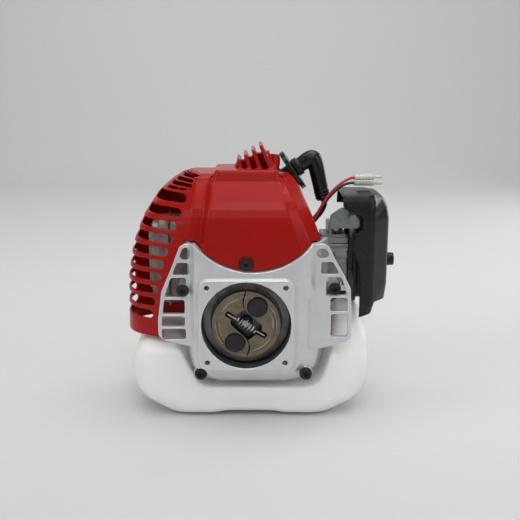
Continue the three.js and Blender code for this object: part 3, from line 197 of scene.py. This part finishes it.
NODE_MATERIALS = {
    "fan_housing": SILVER, "crankcase_front": SHADE_PAINTED_CAST, "crankcase_rear": CAST, "front_main_bearing": STEEL,
    "rear_main_bearing": STEEL, "crankshaft_front": STEEL, "crankshaft_rear": STEEL, "flywheel": FLYWHEEL_BLACK_AND_BORE_SHADE,
    "flywheel_nut": BLACK_STEEL, "clutch_shoe_a": BRONZE, "clutch_shoe_b": BRONZE, "clutch_bolt_a": BLACK_STEEL,
    "clutch_bolt_b": BLACK_STEEL, "clutch_spring": BLACK_STEEL, "cylinder": CAST, "piston": STEEL,
    "piston_ring": STEEL, "piston_pin": STEEL, "connecting_rod": STEEL, "crankpin": STEEL, "spark_plug": STEEL,
    "spark_plug_boot": BOOT_RUBBER, "plug_sealing_disc": BOOT_RUBBER, "ignition_coil": BLACK,
    "ignition_lead": RUBBER, "engine_cover": RED, "engine_cover_screw": BLACK_STEEL,
    "wing_bolt_left": BLACK_STEEL, "wing_bolt_right": BLACK_STEEL, "ear_bolt_left": BLACK_STEEL,
    "ear_bolt_right": BLACK_STEEL, "muffler": HOT_STEEL, "intake_insulator": BLACK, "carburettor_body": CAST,
    "carburettor_cover": CAST, "primer_bulb": BULB, "throttle_lever": ZINC, "throttle_bracket": ZINC,
    "air_filter_base": BLACK, "air_filter_element": FOAM, "air_filter_cover": CLEANER_BLACK,
    "air_filter_knob": CLEANER_BLACK, "choke_lever": BLACK, "fuel_tank": TANK, "fuel_cap_seal": RUBBER,
    "fuel_cap": BLACK, "hose_grommet": RUBBER, "fuel_hose": RUBBER, "recoil_housing": BLACK,
    "starter_cup": BLACK_STEEL, "recoil_reel": BLACK, "starter_pawl": STEEL, "recoil_spring": STEEL,
    "rope_coil": ROPE, "rope_end": ROPE, "starter_handle": RUBBER, "red_wire": RED_WIRE,
    "black_wire": BLACK_WIRE, "red_connector": SLEEVE, "black_connector": SLEEVE,
}
BODY_OF = {n: b for b, members in frame["record"]["behaviour"]["bodies"].items() for n in members}


def paint(obj, finish):
    obj.data.materials.clear()
    obj.data.materials.append(finish)


for node, finish in NODE_MATERIALS.items():
    paint(frame["nodes"][node], finish)


# ---------------------------------------------------------------- mesh helpers
def new_object(name, verts, faces):
    mesh = bpy.data.meshes.new(name)
    mesh.from_pydata([tuple(v) for v in verts], [], faces)
    bm = bmesh.new()
    bm.from_mesh(mesh)
    bmesh.ops.recalc_face_normals(bm, faces=bm.faces)
    bm.to_mesh(mesh)
    bm.free()
    obj = bpy.data.objects.new(name, mesh)
    bpy.context.scene.collection.objects.link(obj)
    return obj


def rings_body(name, rings):
    """A closed body through rings of points in the engine's frame."""
    count = len(rings[0])
    verts = [at(*p) for ring in rings for p in ring]
    faces = [list(range(count))[::-1], [(len(rings) - 1) * count + j for j in range(count)]]
    for i in range(len(rings) - 1):
        for j in range(count):
            k = (j + 1) % count
            faces.append([i * count + j, i * count + k, (i + 1) * count + k, (i + 1) * count + j])
    return new_object(name, verts, faces)


def rounded(corners, steps=6):
    points = []
    for i, (x, y, radius) in enumerate(corners):
        corner = np.array([x, y], float)
        before = np.array(corners[i - 1][:2], float) - corner
        after = np.array(corners[(i + 1) % len(corners)][:2], float) - corner
        room = 0.49 * min(np.linalg.norm(before), np.linalg.norm(after))
        before /= np.linalg.norm(before)
        after /= np.linalg.norm(after)
        half = math.acos(max(-1, min(1, float(before @ after)))) / 2
        reach = min(radius / math.tan(half), room)
        arc = reach * math.tan(half)
        inward = (before + after) / np.linalg.norm(before + after)
        centre = corner + inward * arc / math.sin(half)
        start = corner + before * reach - centre
        end = corner + after * reach - centre
        sweep = math.atan2(start[0] * end[1] - start[1] * end[0], float(start @ end))
        for k in range(steps + 1):
            a = sweep * k / steps
            c, s = math.cos(a), math.sin(a)
            points.append(centre + np.array([start[0] * c - start[1] * s, start[0] * s + start[1] * c]))
    return points


def prism_y(outline, y0, y1, name="cutter"):
    return rings_body(name, [[(p[0], y, p[1]) for p in outline] for y in (y0, y1)])


def prism_x(outline, x0, x1, name="cutter"):
    return rings_body(name, [[(x, p[0], p[1]) for p in outline] for x in (x0, x1)])


def box_body(x0, x1, y0, y1, z0, z1, name="cutter"):
    return prism_y([(x0, z0), (x1, z0), (x1, z1), (x0, z1)], y0, y1, name)


def rod_body(start, end, radius, sides=32, end_radius=None, name="cutter"):
    start, end = Vector(start), Vector(end)
    direction = (end - start).normalized()
    side = direction.orthogonal().normalized()
    other = direction.cross(side)
    rings = []
    for centre, r in ((start, radius), (end, radius if end_radius is None else end_radius)):
        turns = [2 * math.pi * i / sides for i in range(sides)]
        rings.append([tuple(centre + side * (r * math.cos(a)) + other * (r * math.sin(a))) for a in turns])
    return rings_body(name, rings)


def merged(name, objs):
    bm = bmesh.new()
    for o in objs:
        bm.from_mesh(o.data)
    mesh = bpy.data.meshes.new(name)
    bm.to_mesh(mesh)
    bm.free()
    for o in objs:
        bpy.data.objects.remove(o)
    obj = bpy.data.objects.new(name, mesh)
    bpy.context.scene.collection.objects.link(obj)
    return obj


def apply_modifiers(obj):
    bpy.context.view_layer.update()
    graph = bpy.context.evaluated_depsgraph_get()
    mesh = bpy.data.meshes.new_from_object(obj.evaluated_get(graph), depsgraph=graph)
    obj.modifiers.clear()
    old = obj.data
    obj.data = mesh
    if not old.users:
        bpy.data.meshes.remove(old)
    return obj


def boolean(obj, other, operation="DIFFERENCE"):
    m = obj.modifiers.new("b", "BOOLEAN")
    m.object = other
    m.operation = operation
    m.solver = "EXACT"
    m.use_self = False
    apply_modifiers(obj)
    bpy.data.objects.remove(other)
    return obj


def remesh(obj, voxel, smooth):
    """Rounds every edge a little, as a moulded or cast part has them."""
    m = obj.modifiers.new("r", "REMESH")
    m.mode = "VOXEL"
    m.voxel_size = voxel * MM
    m.adaptivity = 0
    apply_modifiers(obj)
    s = obj.modifiers.new("s", "SMOOTH")
    s.factor = 0.5
    s.iterations = smooth
    apply_modifiers(obj)
    obj.data.polygons.foreach_set("use_smooth", [True] * len(obj.data.polygons))
    return obj


def finished(obj, finish, body, *nodes):
    paint(obj, finish)
    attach(obj, body)
    if nodes:
        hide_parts(*nodes)
    return obj


def remade(node, voxel, smooth):
    """The CAD node's own mesh with its edges rounded."""
    mesh = frame["nodes"][node].data.copy()
    obj = bpy.data.objects.new(node + "_look", mesh)
    bpy.context.scene.collection.objects.link(obj)
    remesh(obj, voxel, smooth)
    return finished(obj, NODE_MATERIALS[node], BODY_OF[node], node)


def second_finish(obj, finish, chosen):
    """Gives another finish to the faces whose centre, in the engine's millimetres, is chosen."""
    obj.data.materials.append(finish)
    centres = np.empty(len(obj.data.polygons) * 3)
    obj.data.polygons.foreach_get("center", centres)
    x, y, z = ((centres.reshape(-1, 3) - np.array(AXIS)) / MM).T
    obj.data.polygons.foreach_set("material_index", chosen(x, y, z).astype(np.int32))


def tube(name, points, radius, finish, body, sides=8):
    curve = bpy.data.curves.new(name, "CURVE")
    curve.dimensions = "3D"
    curve.bevel_depth = radius * MM
    curve.bevel_resolution = sides
    curve.use_fill_caps = True
    spline = curve.splines.new("POLY")
    spline.points.add(len(points) - 1)
    for p, co in zip(spline.points, points):
        p.co = (*at(*co), 1)
    spline.use_smooth = True
    obj = bpy.data.objects.new(name, curve)
    bpy.context.scene.collection.objects.link(obj)
    curve.materials.append(finish)
    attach(obj, body)
    return obj


def through(points, count):
    """A smooth line (Catmull-Rom) of count points through a few."""
    p = [Vector(q) for q in points]
    p = [2 * p[0] - p[1], *p, 2 * p[-1] - p[-2]]
    spans = len(p) - 3
    line = []
    for i in range(count):
        t = i / (count - 1) * spans
        k = min(int(t), spans - 1)
        t -= k
        a, b, c, d = p[k:k + 4]
        line.append(0.5 * ((2 * b) + (c - a) * t + (2 * a - 5 * b + 4 * c - d) * t * t
                           + (3 * b - a - 3 * c + d) * t ** 3))
    return line


# ---------------------------------------------------------------- stop-switch leads
LEADS = {
    "red": [[75, 68, 101], [80, 68, 111], [89, 68.5, 127], [98, 69.5, 138.5], [108, 71.5, 147], [117, 74, 151.5],
            [122, 75.5, 152.5]],
    "black": [[74.5, 73, 99], [80.5, 73.5, 109], [91, 75, 125], [101, 77.5, 136], [111, 80.5, 143],
              [119, 83, 145], [123, 84.2, 145]],
}
LEAD_RADIUS = 1.5
for color, finish in (("red", RED_WIRE), ("black", BLACK_WIRE)):
    line = through(LEADS[color], 28)
    lead = tube(color + "_lead", line, LEAD_RADIUS, finish, "engine")
    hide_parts(color + "_wire")
    connector = remade(color + "_connector", 0.35, 2)


# ---------------------------------------------------------------- engine cover
# Each row: height, left side, left and right crease, right side, front, back.
COVER_FOOT = -26
COVER_TOP = 160
COVER = np.array([
    [COVER_FOOT, -139, -50, 63, 88, 8, 128],
    [40, -137.5, -50, 63, 88, 8, 128],
    [77, -131, -48, 60, 88, 9.8, 128],
    [108, -119, -43, 50, 76, 12, 127],
    [123, -108.9, -41, 45.2, 69.3, 14, 124.6],
    [137, -99.5, -39, 40, 63, 22.5, 122],
    [150, -84, -38, 36.5, 57, 32.5, 117],
    [156, -74, -36, 35, 53, 37, 112],
    [COVER_TOP, -62, -30, 31, 47, 44, 104],
], float)
COVER_WALL = 2.6
STARTER_RADIUS = 60
LIP_CENTRE = (8, 141)
LIP_RADIUS = 82
SLOT_COUNT = 10
SLOT_PITCH = 14.8
SLOT_HEIGHT = 8.6
SHOULDER_SLOTS = (142.57, 146.91, 151.24, 155.57)
SHOULDER_SLOT = 2.3
PLUG_ROOT = Vector((1.2, 85, 123.6))
PLUG_DIRECTION = Vector((0.82, 0, 0.57)).normalized()


def plug_axis(distance):
    return PLUG_ROOT + PLUG_DIRECTION * distance


def cover_section(z):
    return [float(np.interp(z, COVER[:, 0], COVER[:, i])) for i in range(1, 7)]


def softened_section(z):
    """The section at a height, averaged with its neighbours so that its rows meet in soft folds."""
    around = [cover_section(min(COVER_TOP, max(COVER_FOOT, z + d))) for d in (-5, -2.5, 0, 2.5, 5)]
    inside = COVER_FOOT + 5 < z < COVER_TOP - 5
    weights = (1, 2, 3, 2, 1) if inside else (0, 0, 1, 0, 0)
    return [sum(w * s[i] for w, s in zip(weights, around)) / sum(weights) for i in range(6)]


def cover_slice(z, inset, drop):
    left, crease_left, crease_right, right, front, back = softened_section(z)
    corners = [
        (right - inset, back - inset, 20), (left + inset, back - inset, 36), (left + inset, front + 50, 44),
        (crease_left - 18, front + 11 + inset, 3), (crease_left - 5, front + 10 + inset, 3),
        (crease_left, front + inset, 4), (crease_right, front + inset, 4), (right - 13, front + 5 + inset, 4),
        (right - inset, front + 21, 5),
    ]
    return [(p[0], p[1], z - drop) for p in rounded(corners, 7)]


def cover_body(inset):
    heights = [COVER_FOOT + 0.4, *np.arange(-18, 150, 8), *np.arange(150, COVER_TOP, 2), COVER_TOP]
    rings = [cover_slice(float(z), inset, inset if z > COVER_TOP - 2 else 0) for z in heights]
    if inset:
        rings[0] = [(x, y, -40) for x, y, _ in rings[0]]
    return rings_body("cover", rings)


def plateau(inset):
    def shape(values, grow=1.0, lift=1.0):
        corners = [(x - math.copysign(inset, x), y + inset if y < 60 else y - inset, r) for x, y, r in values]
        return [(p[0] * grow, 64 + (p[1] - 64) * lift) for p in rounded(corners, 5)]
    foot = shape([(-39, 33, 4), (38, 33, 4), (38, 98, 6), (-39, 98, 6)])
    top = [(-35, 37, 5), (35, 37, 5), (35, 92, 7), (-35, 92, 7)]
    levels = ((140, foot), (163 - inset, shape(top)), (166 - inset, shape(top, 0.96, 0.95)))
    return rings_body("plateau", [[(*p, z) for p in outline] for z, outline in levels])


BLADES = [(-6, -8.5, 177), (4.5, -1, 182), (16, 7.2, 187), (28.5, 15.5, 192)]


def cover_piece():
    shell = boolean(cover_body(0), cover_body(COVER_WALL))
    shell = boolean(shell, plateau(0), "UNION")
    shell = boolean(shell, plateau(COVER_WALL))
    shell = boolean(shell, box_body(-11, 24.5, 50.5, 85.5, 150, 175))
    vent = [rod_body((31, 74, 160), (33, 76, 179), 7, 24, 5.5),
            prism_y([(-13, 160), (27, 160), (26, 183), (12, 180), (4, 176), (-12, 169)], 70, 83)]
    for foot, tip, top in BLADES:
        vent.append(prism_y(rounded([(foot - 2.8, 163, 0.8), (foot + 2.8, 163, 0.8), (tip + 2.1, top, 1.2),
                                     (tip - 2.1, top, 1.2)], 3), 48, 88))
    for part in vent:
        boolean(shell, part, "UNION")
    arc = boolean(box_body(-66, 100, -10, 49, -60, 90.2),
                  rod_body((LIP_CENTRE[0], -20, LIP_CENTRE[1]), (LIP_CENTRE[0], 60, LIP_CENTRE[1]),
                           LIP_RADIUS - 0.8, 96))
    cutters = [
        box_body(-100, 80, 62, 118, -44, 0), arc,
        prism_y([(-60, 90.2), (-68, 90.2), (-78, 60), (-89.5, 34), (-94, 2), (-94, -60), (-60, -60)], -10, 49),
        box_body(62, 130, 30, 150, -60, 90.2), box_body(55, 130, 64, 106, 80, 132),
        rod_body((0, 90, 0), (0, 150, 0), STARTER_RADIUS + 7, 64), box_body(-66, 100, 90, 150, -60, 10),
        rod_body(plug_axis(20), plug_axis(110), 18, 32), rod_body(plug_axis(59.6), plug_axis(110), 25.6, 40),
        rod_body((0, 0, 68), (0, 60, 68), 2.9, 16),
    ]
    for cutter in cutters:
        boolean(shell, cutter)
    slots = []
    for i in range(SLOT_COUNT):
        z = 1 + i * SLOT_PITCH
        right = -106 + 40 * (i / (SLOT_COUNT - 1)) ** 1.25
        left = cover_section(z)[0] - 4
        half = SLOT_HEIGHT / 2
        front_slot = (left, right, prism_y, (-20, 72))
        side_slot = (64, 112 - i * 2, prism_x, (-170, right - 8))
        for a, b, make, ends in (front_slot, side_slot):
            corners = [(a, z - half, 4.2), (b, z - half, 4.2), (b, z + half, 4.2), (a, z + half, 4.2)]
            slots.append(make(rounded(corners, 5), *ends))
    for z in SHOULDER_SLOTS:
        left, crease = cover_section(z)[:2]
        slots.append(box_body(left + 4.1, crease - 21.3, -20, 95, z - SHOULDER_SLOT / 2, z + SHOULDER_SLOT / 2))
    slots.append(prism_y(rounded([(-8, 56, 2), (8, 56, 2), (8, 76, 5), (-8, 76, 5)], 4), -6, 10.3))
    for slot in slots:
        boolean(shell, slot)
    shell.name = "engine_cover_look"
    return shell


cover = remesh(cover_piece(), 1.0, 3)
finished(cover, RED, "engine", "engine_cover")


# ---------------------------------------------------------------- pieces that keep the CAD's shape
FINE = {
    "fan_housing": (0.9, 3), "fuel_tank": (1.5, 55), "air_filter_cover": (0.9, 14), "recoil_housing": (1.0, 3),
    "muffler": (1.1, 3), "cylinder": (1.0, 2), "flywheel": (0.8, 2), "crankcase_front": (1.2, 2),
    "crankcase_rear": (1.2, 2), "clutch_shoe_a": (0.55, 2), "clutch_shoe_b": (0.55, 2),
    "plug_sealing_disc": (0.6, 3), "ignition_coil": (0.6, 2), "carburettor_body": (0.7, 2),
    "carburettor_cover": (0.5, 2), "primer_bulb": (0.4, 4), "throttle_lever": (0.4, 2), "throttle_bracket": (0.5, 2),
    "air_filter_base": (0.8, 2), "air_filter_element": (0.8, 2), "air_filter_knob": (0.5, 3),
    "choke_lever": (0.4, 2), "fuel_cap": (0.6, 3), "starter_handle": (0.8, 6), "hose_grommet": (0.4, 2),
    "clutch_bolt_a": (0.35, 1), "clutch_bolt_b": (0.35, 1), "flywheel_nut": (0.35, 1), "starter_cup": (0.6, 1),
    "intake_insulator": (0.6, 1), "spark_plug": (0.35, 1),
}
looks = {node: remade(node, voxel, smooth) for node, (voxel, smooth) in FINE.items()}
HOUSING_BORE = 50.6
SHOE_RADIUS = 37.4
SHOE_ARC_Y = 4.5
SHOE_ARCS = ((-8, 40, 33.6), (-74, -30, 30.6), (-6, 26, 29.6))
# The housing's bore wall gets the flywheel's dark finish: painted shade inside the bore.
second_finish(looks["fan_housing"], FLYWHEEL_BLACK_AND_BORE_SHADE, lambda x, y, z: (np.hypot(x, z) < HOUSING_BORE) & (y > 1.4))
for shoe in ("clutch_shoe_a", "clutch_shoe_b"):
    # Each shoe's faces deeper than y 5.7 inside the shoe radius are painted near black: painted shade between and
    # behind the shoes.
    second_finish(looks[shoe], PAINTED_HOLLOW_SHADE, lambda x, y, z: (y > 5.7) & (np.hypot(x, z) < SHOE_RADIUS))
    half_turn = 0 if shoe.endswith("a") else 180
    for start, end, radius in SHOE_ARCS:
        turns = np.radians(np.linspace(start, end, 24) + half_turn)
        arc = [(radius * math.cos(a), SHOE_ARC_Y, radius * math.sin(a)) for a in turns]
        tube(f"{shoe}_lip_{start}", arc, 0.8, LETTER_BRONZE, BODY_OF[shoe], 3)


# ---------------------------------------------------------------- housing bolts


def socket_bolt(node, x, z, head, washer, face=13.8, shank=56):
    """A bolt at x, z: radii of its head and washer, the face it sits on and the end of its shank."""
    body = merged(node + "_look", [rod_body((x, face - 5, z), (x, face - 0.9, z), head, 32),
                                   rod_body((x, face - 1.2, z), (x, face, z), washer, 32),
                                   rod_body((x, face - 0.2, z), (x, shank, z), 2.5, 16)])
    boolean(body, rod_body((x, face - 6, z), (x, face - 2.2, z), head * 0.5, 6))
    remesh(body, 0.3, 1)
    # The inside of the hex socket is painted near black: painted shade in the recess.
    second_finish(finished(body, BLACK_STEEL, "engine", node), PAINTED_HOLLOW_SHADE,
                  lambda bx, by, bz: (np.hypot(bx - x, bz - z) < head * 0.48) & (by > face - 4.4))


socket_bolt("wing_bolt_left", -70, 37, 5.9, 7.1)
socket_bolt("wing_bolt_right", 97, 39, 5.9, 7.1)
socket_bolt("ear_bolt_left", -51, -60, 6.3, 7.2)
socket_bolt("ear_bolt_right", 67, -60, 6.3, 7.2)
socket_bolt("engine_cover_screw", 0, 68, 4.8, 7.4, 8.4, 26)


# ---------------------------------------------------------------- spark plug boot
SWEEP_RINGS = 40


def swept(name, stations, sides=40):
    """A round body of changing radius along a bending line: stations are (point, radius)."""
    line = through([p for p, r in stations], SWEEP_RINGS)
    places = np.linspace(0, len(stations) - 1, SWEEP_RINGS)
    radii = np.interp(places, range(len(stations)), [r for p, r in stations])
    across = Vector((0, 1, 0))
    turns = [2 * math.pi * k / sides for k in range(sides)]
    rings = []
    for i, (p, r) in enumerate(zip(line, radii)):
        direction = (line[min(i + 1, SWEEP_RINGS - 1)] - line[max(i - 1, 0)]).normalized()
        up = direction.cross(across).normalized()
        rings.append([tuple(p + across * (r * math.cos(a)) + up * (r * math.sin(a))) for a in turns])
    return rings_body(name, rings)


BOOT_END = Vector((89, 85, 126))
boot = swept("spark_plug_boot_look", [
    (plug_axis(38), 8.4), (plug_axis(60), 8.6), (plug_axis(76), 8.8), (plug_axis(84), 9.2),
    (plug_axis(89) + Vector((1.5, 0, -1.5)), 9.4), (plug_axis(89) + Vector((5.2, 0, -10)), 9.2),
    (BOOT_END + Vector((-3.6, 0, 14)), 8.6), (BOOT_END, 7.6)])
boolean(boot, rod_body(plug_axis(66.4), plug_axis(73), 10.8, 32), "UNION")
for low in (2, 5.5, 9):
    foot = BOOT_END + Vector((-0.27, 0, 0.96)) * low
    boolean(boot, rod_body(foot, foot + Vector((-0.5, 0, 1.8)), 8.9, 32), "UNION")
boolean(boot, rod_body(plug_axis(36), plug_axis(61), 6.1, 24))
boolean(boot, rod_body((87.1, 85, 132.3), (90.8, 85, 120), 4.3, 24))
finished(remesh(boot, 0.6, 3), BOOT_RUBBER, "engine", "spark_plug_boot")


# ---------------------------------------------------------------- clutch spring
SPRING_SLOPE = 0.549
COIL_TURNS = 6
COIL_RADIUS = 4.1


def along_spring(distance, y=5.5):
    return (distance * math.cos(SPRING_SLOPE), y, -distance * math.sin(SPRING_SLOPE))


def coil_point(t):
    turn = 2 * math.pi * COIL_TURNS * t
    centre = Vector(along_spring(-11.5 + 23 * t))
    side = Vector((math.sin(SPRING_SLOPE), 0, math.cos(SPRING_SLOPE)))
    return tuple(centre + side * (COIL_RADIUS * math.sin(turn)) - Vector((0, COIL_RADIUS * math.cos(turn), 0)))


def hook(sign):
    ends = [(12.2, 3.6), (14, 4.6), (17, 4.6), (21.5, 4.4), (23.8, 5.4), (24.1, 8), (24.1, 11)]
    return [along_spring(sign * distance, y) for distance, y in ends]


coil = [coil_point(i / 160) for i in range(161)]
spring_line = [*through(hook(-1), 24)[::-1], *coil, *through(hook(1), 24)]
spring = tube("clutch_spring_look", spring_line, 0.82, SPRING_STEEL, BODY_OF["clutch_spring"], 4)
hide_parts("clutch_spring")


# ---------------------------------------------------------------- ignition lead and fuel hoses
HIGH_LEAD = [[53.6, 46.6, 59.5], [53.9, 51, 60], [58, 60, 70], [66, 72, 88], [79, 83, 103], [86.5, 85, 112],
             [90, 85, 121], [88, 85, 129]]
FUEL_LINE = [[111, 107, 13.4], [111, 107.5, 22], [107, 110, 33], [99, 109, 41], [98, 101.5, 42]]
RETURN_LINE = [[117, 110, 13.4], [117.5, 110, 24], [115, 109, 36], [110, 105, 43], [108, 101.4, 44]]
lead = tube("ignition_lead_look", through(HIGH_LEAD, 48), 3.4, RUBBER, "engine")
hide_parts("ignition_lead")
hose = tube("fuel_hose_look", through(FUEL_LINE, 40), 2.5, HOSE, "engine")
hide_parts("fuel_hose")
tube("return_hose", through(RETURN_LINE, 40), 2.2, HOSE, "engine")


# ---------------------------------------------------------------- gaskets, seals, small fittings
CYLINDER_Y = 85
STARTER_SCREW_CIRCLE = 54


def ring_body(inner, outer, y0, y1, name):
    disc = rod_body((0, y0, 0), (0, y1, 0), outer, 48, name=name)
    return boolean(disc, rod_body((0, y0 - 1, 0), (0, y1 + 1, 0), inner, 48))


cylinder_gasket = boolean(box_body(-30, 30, 57, 113, 30.28, 30.82, "cylinder_gasket"),
                          rod_body((0, CYLINDER_Y, 28), (0, CYLINDER_Y, 33), 21, 48))
finished(cylinder_gasket, GASKET, "engine")
finished(box_body(-53.05, -52.25, 71, 99, 61, 87, "muffler_gasket"), GASKET, "engine")
for side, name in ((-1, "front_shaft_seal"), (1, "rear_shaft_seal")):
    faces = sorted((CYLINDER_Y + side * 28.5, CYLINDER_Y + side * 33))
    finished(ring_body(7.9, 15, *faces, name), RUBBER, "engine")
needle = merged("mixture_screw", [rod_body((109, 63.4, 42), (109, 71, 42), 2.4, 20),
                                  rod_body((109, 64.6, 42), (109, 67, 42), 3.2, 20)])
boolean(needle, box_body(105, 113, 62, 64.3, 41.6, 42.4))
finished(needle, BRASS, "engine")
adjuster = merged("cable_adjuster", [rod_body((119, 48, 111), (119, 72, 111), 2.6, 20),
                                     rod_body((119, 49, 111), (119, 53, 111), 4.3, 6),
                                     rod_body((119, 53.6, 111), (119, 55.6, 111), 4.3, 6)])
finished(adjuster, ZINC, "engine")
for i, turn in enumerate((45, 135, 225, 315)):
    x = STARTER_SCREW_CIRCLE * math.cos(math.radians(turn))
    z = STARTER_SCREW_CIRCLE * math.sin(math.radians(turn))
    screw = merged(f"starter_screw_{i + 1}", [rod_body((x, 110.6, z), (x, 114.6, z), 4.4, 24),
                                              rod_body((x, 114.4, z), (x, 125.5, z), 2.3, 16)])
    finished(screw, BLACK_STEEL, "engine")


# ---------------------------------------------------------------- floor, light


def stage_plane():
    size = 6.0
    y_back, rise = 1.6, 0.9
    rows = [(-2.5, 0.0), (y_back, 0.0)]
    rows += [(y_back + rise * math.sin(a), rise - rise * math.cos(a)) for a in np.linspace(0.05, math.pi / 2, 20)]
    rows.append((y_back + rise, 4.0))
    verts = [(sx * size, y, z) for y, z in rows for sx in (-1, 1)]
    faces = [[2 * i, 2 * i + 1, 2 * i + 3, 2 * i + 2] for i in range(len(rows) - 1)]
    floor = new_object("studio_floor", verts, faces)
    floor.data.polygons.foreach_set("use_smooth", [True] * len(faces))
    paint(floor, material("studio_grey", (0.66, 0.66, 0.66), 0.7, vary=0.01, vary_scale=2, bump=0.02))
    floor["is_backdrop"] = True


def area_light(name, location, target, size, power, size_y=None):
    data = bpy.data.lights.new(name, "AREA")
    data.size = size
    if size_y:
        data.shape = "RECTANGLE"
        data.size_y = size_y
    data.energy = power
    lamp = bpy.data.objects.new(name, data)
    lamp.location = location
    lamp.rotation_euler = (Vector(target) - Vector(location)).to_track_quat("-Z", "Y").to_euler()
    bpy.context.scene.collection.objects.link(lamp)


stage_plane()
area_light("top_soft", (0.1, -0.1, 1.6), (0, 0, 0.1), 1.6, 12)
area_light("wall_wash", (0, 0.5, 2.4), (0, 2.3, 1.4), 2.4, 34)
area_light("back_right_panel", (1.3, 1.0, 0.5), (0.05, 0, 0.2), 0.5, 6, size_y=1.1)
area_light("strip_high", (0.0, -1.1, 1.35), (0, 0, 0.2), 1.3, 3, size_y=0.1)
area_light("left_soft", (-1.5, -0.9, 1.0), (0, 0, 0.15), 1.1, 7.5)
area_light("right_soft", (1.5, -0.9, 0.9), (0, 0, 0.15), 1.1, 5)
area_light("front_soft", (0.1, -1.9, 1.1), (0, 0, 0.15), 1.2, 3.6)
world = bpy.data.worlds.new("studio")
bpy.context.scene.world = world
world.use_nodes = True
world.node_tree.nodes["Background"].inputs["Color"].default_value = (0.9, 0.92, 0.95, 1)
world.node_tree.nodes["Background"].inputs["Strength"].default_value = 0.2
bpy.context.scene.view_settings.view_transform = "Standard"

low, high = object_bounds()
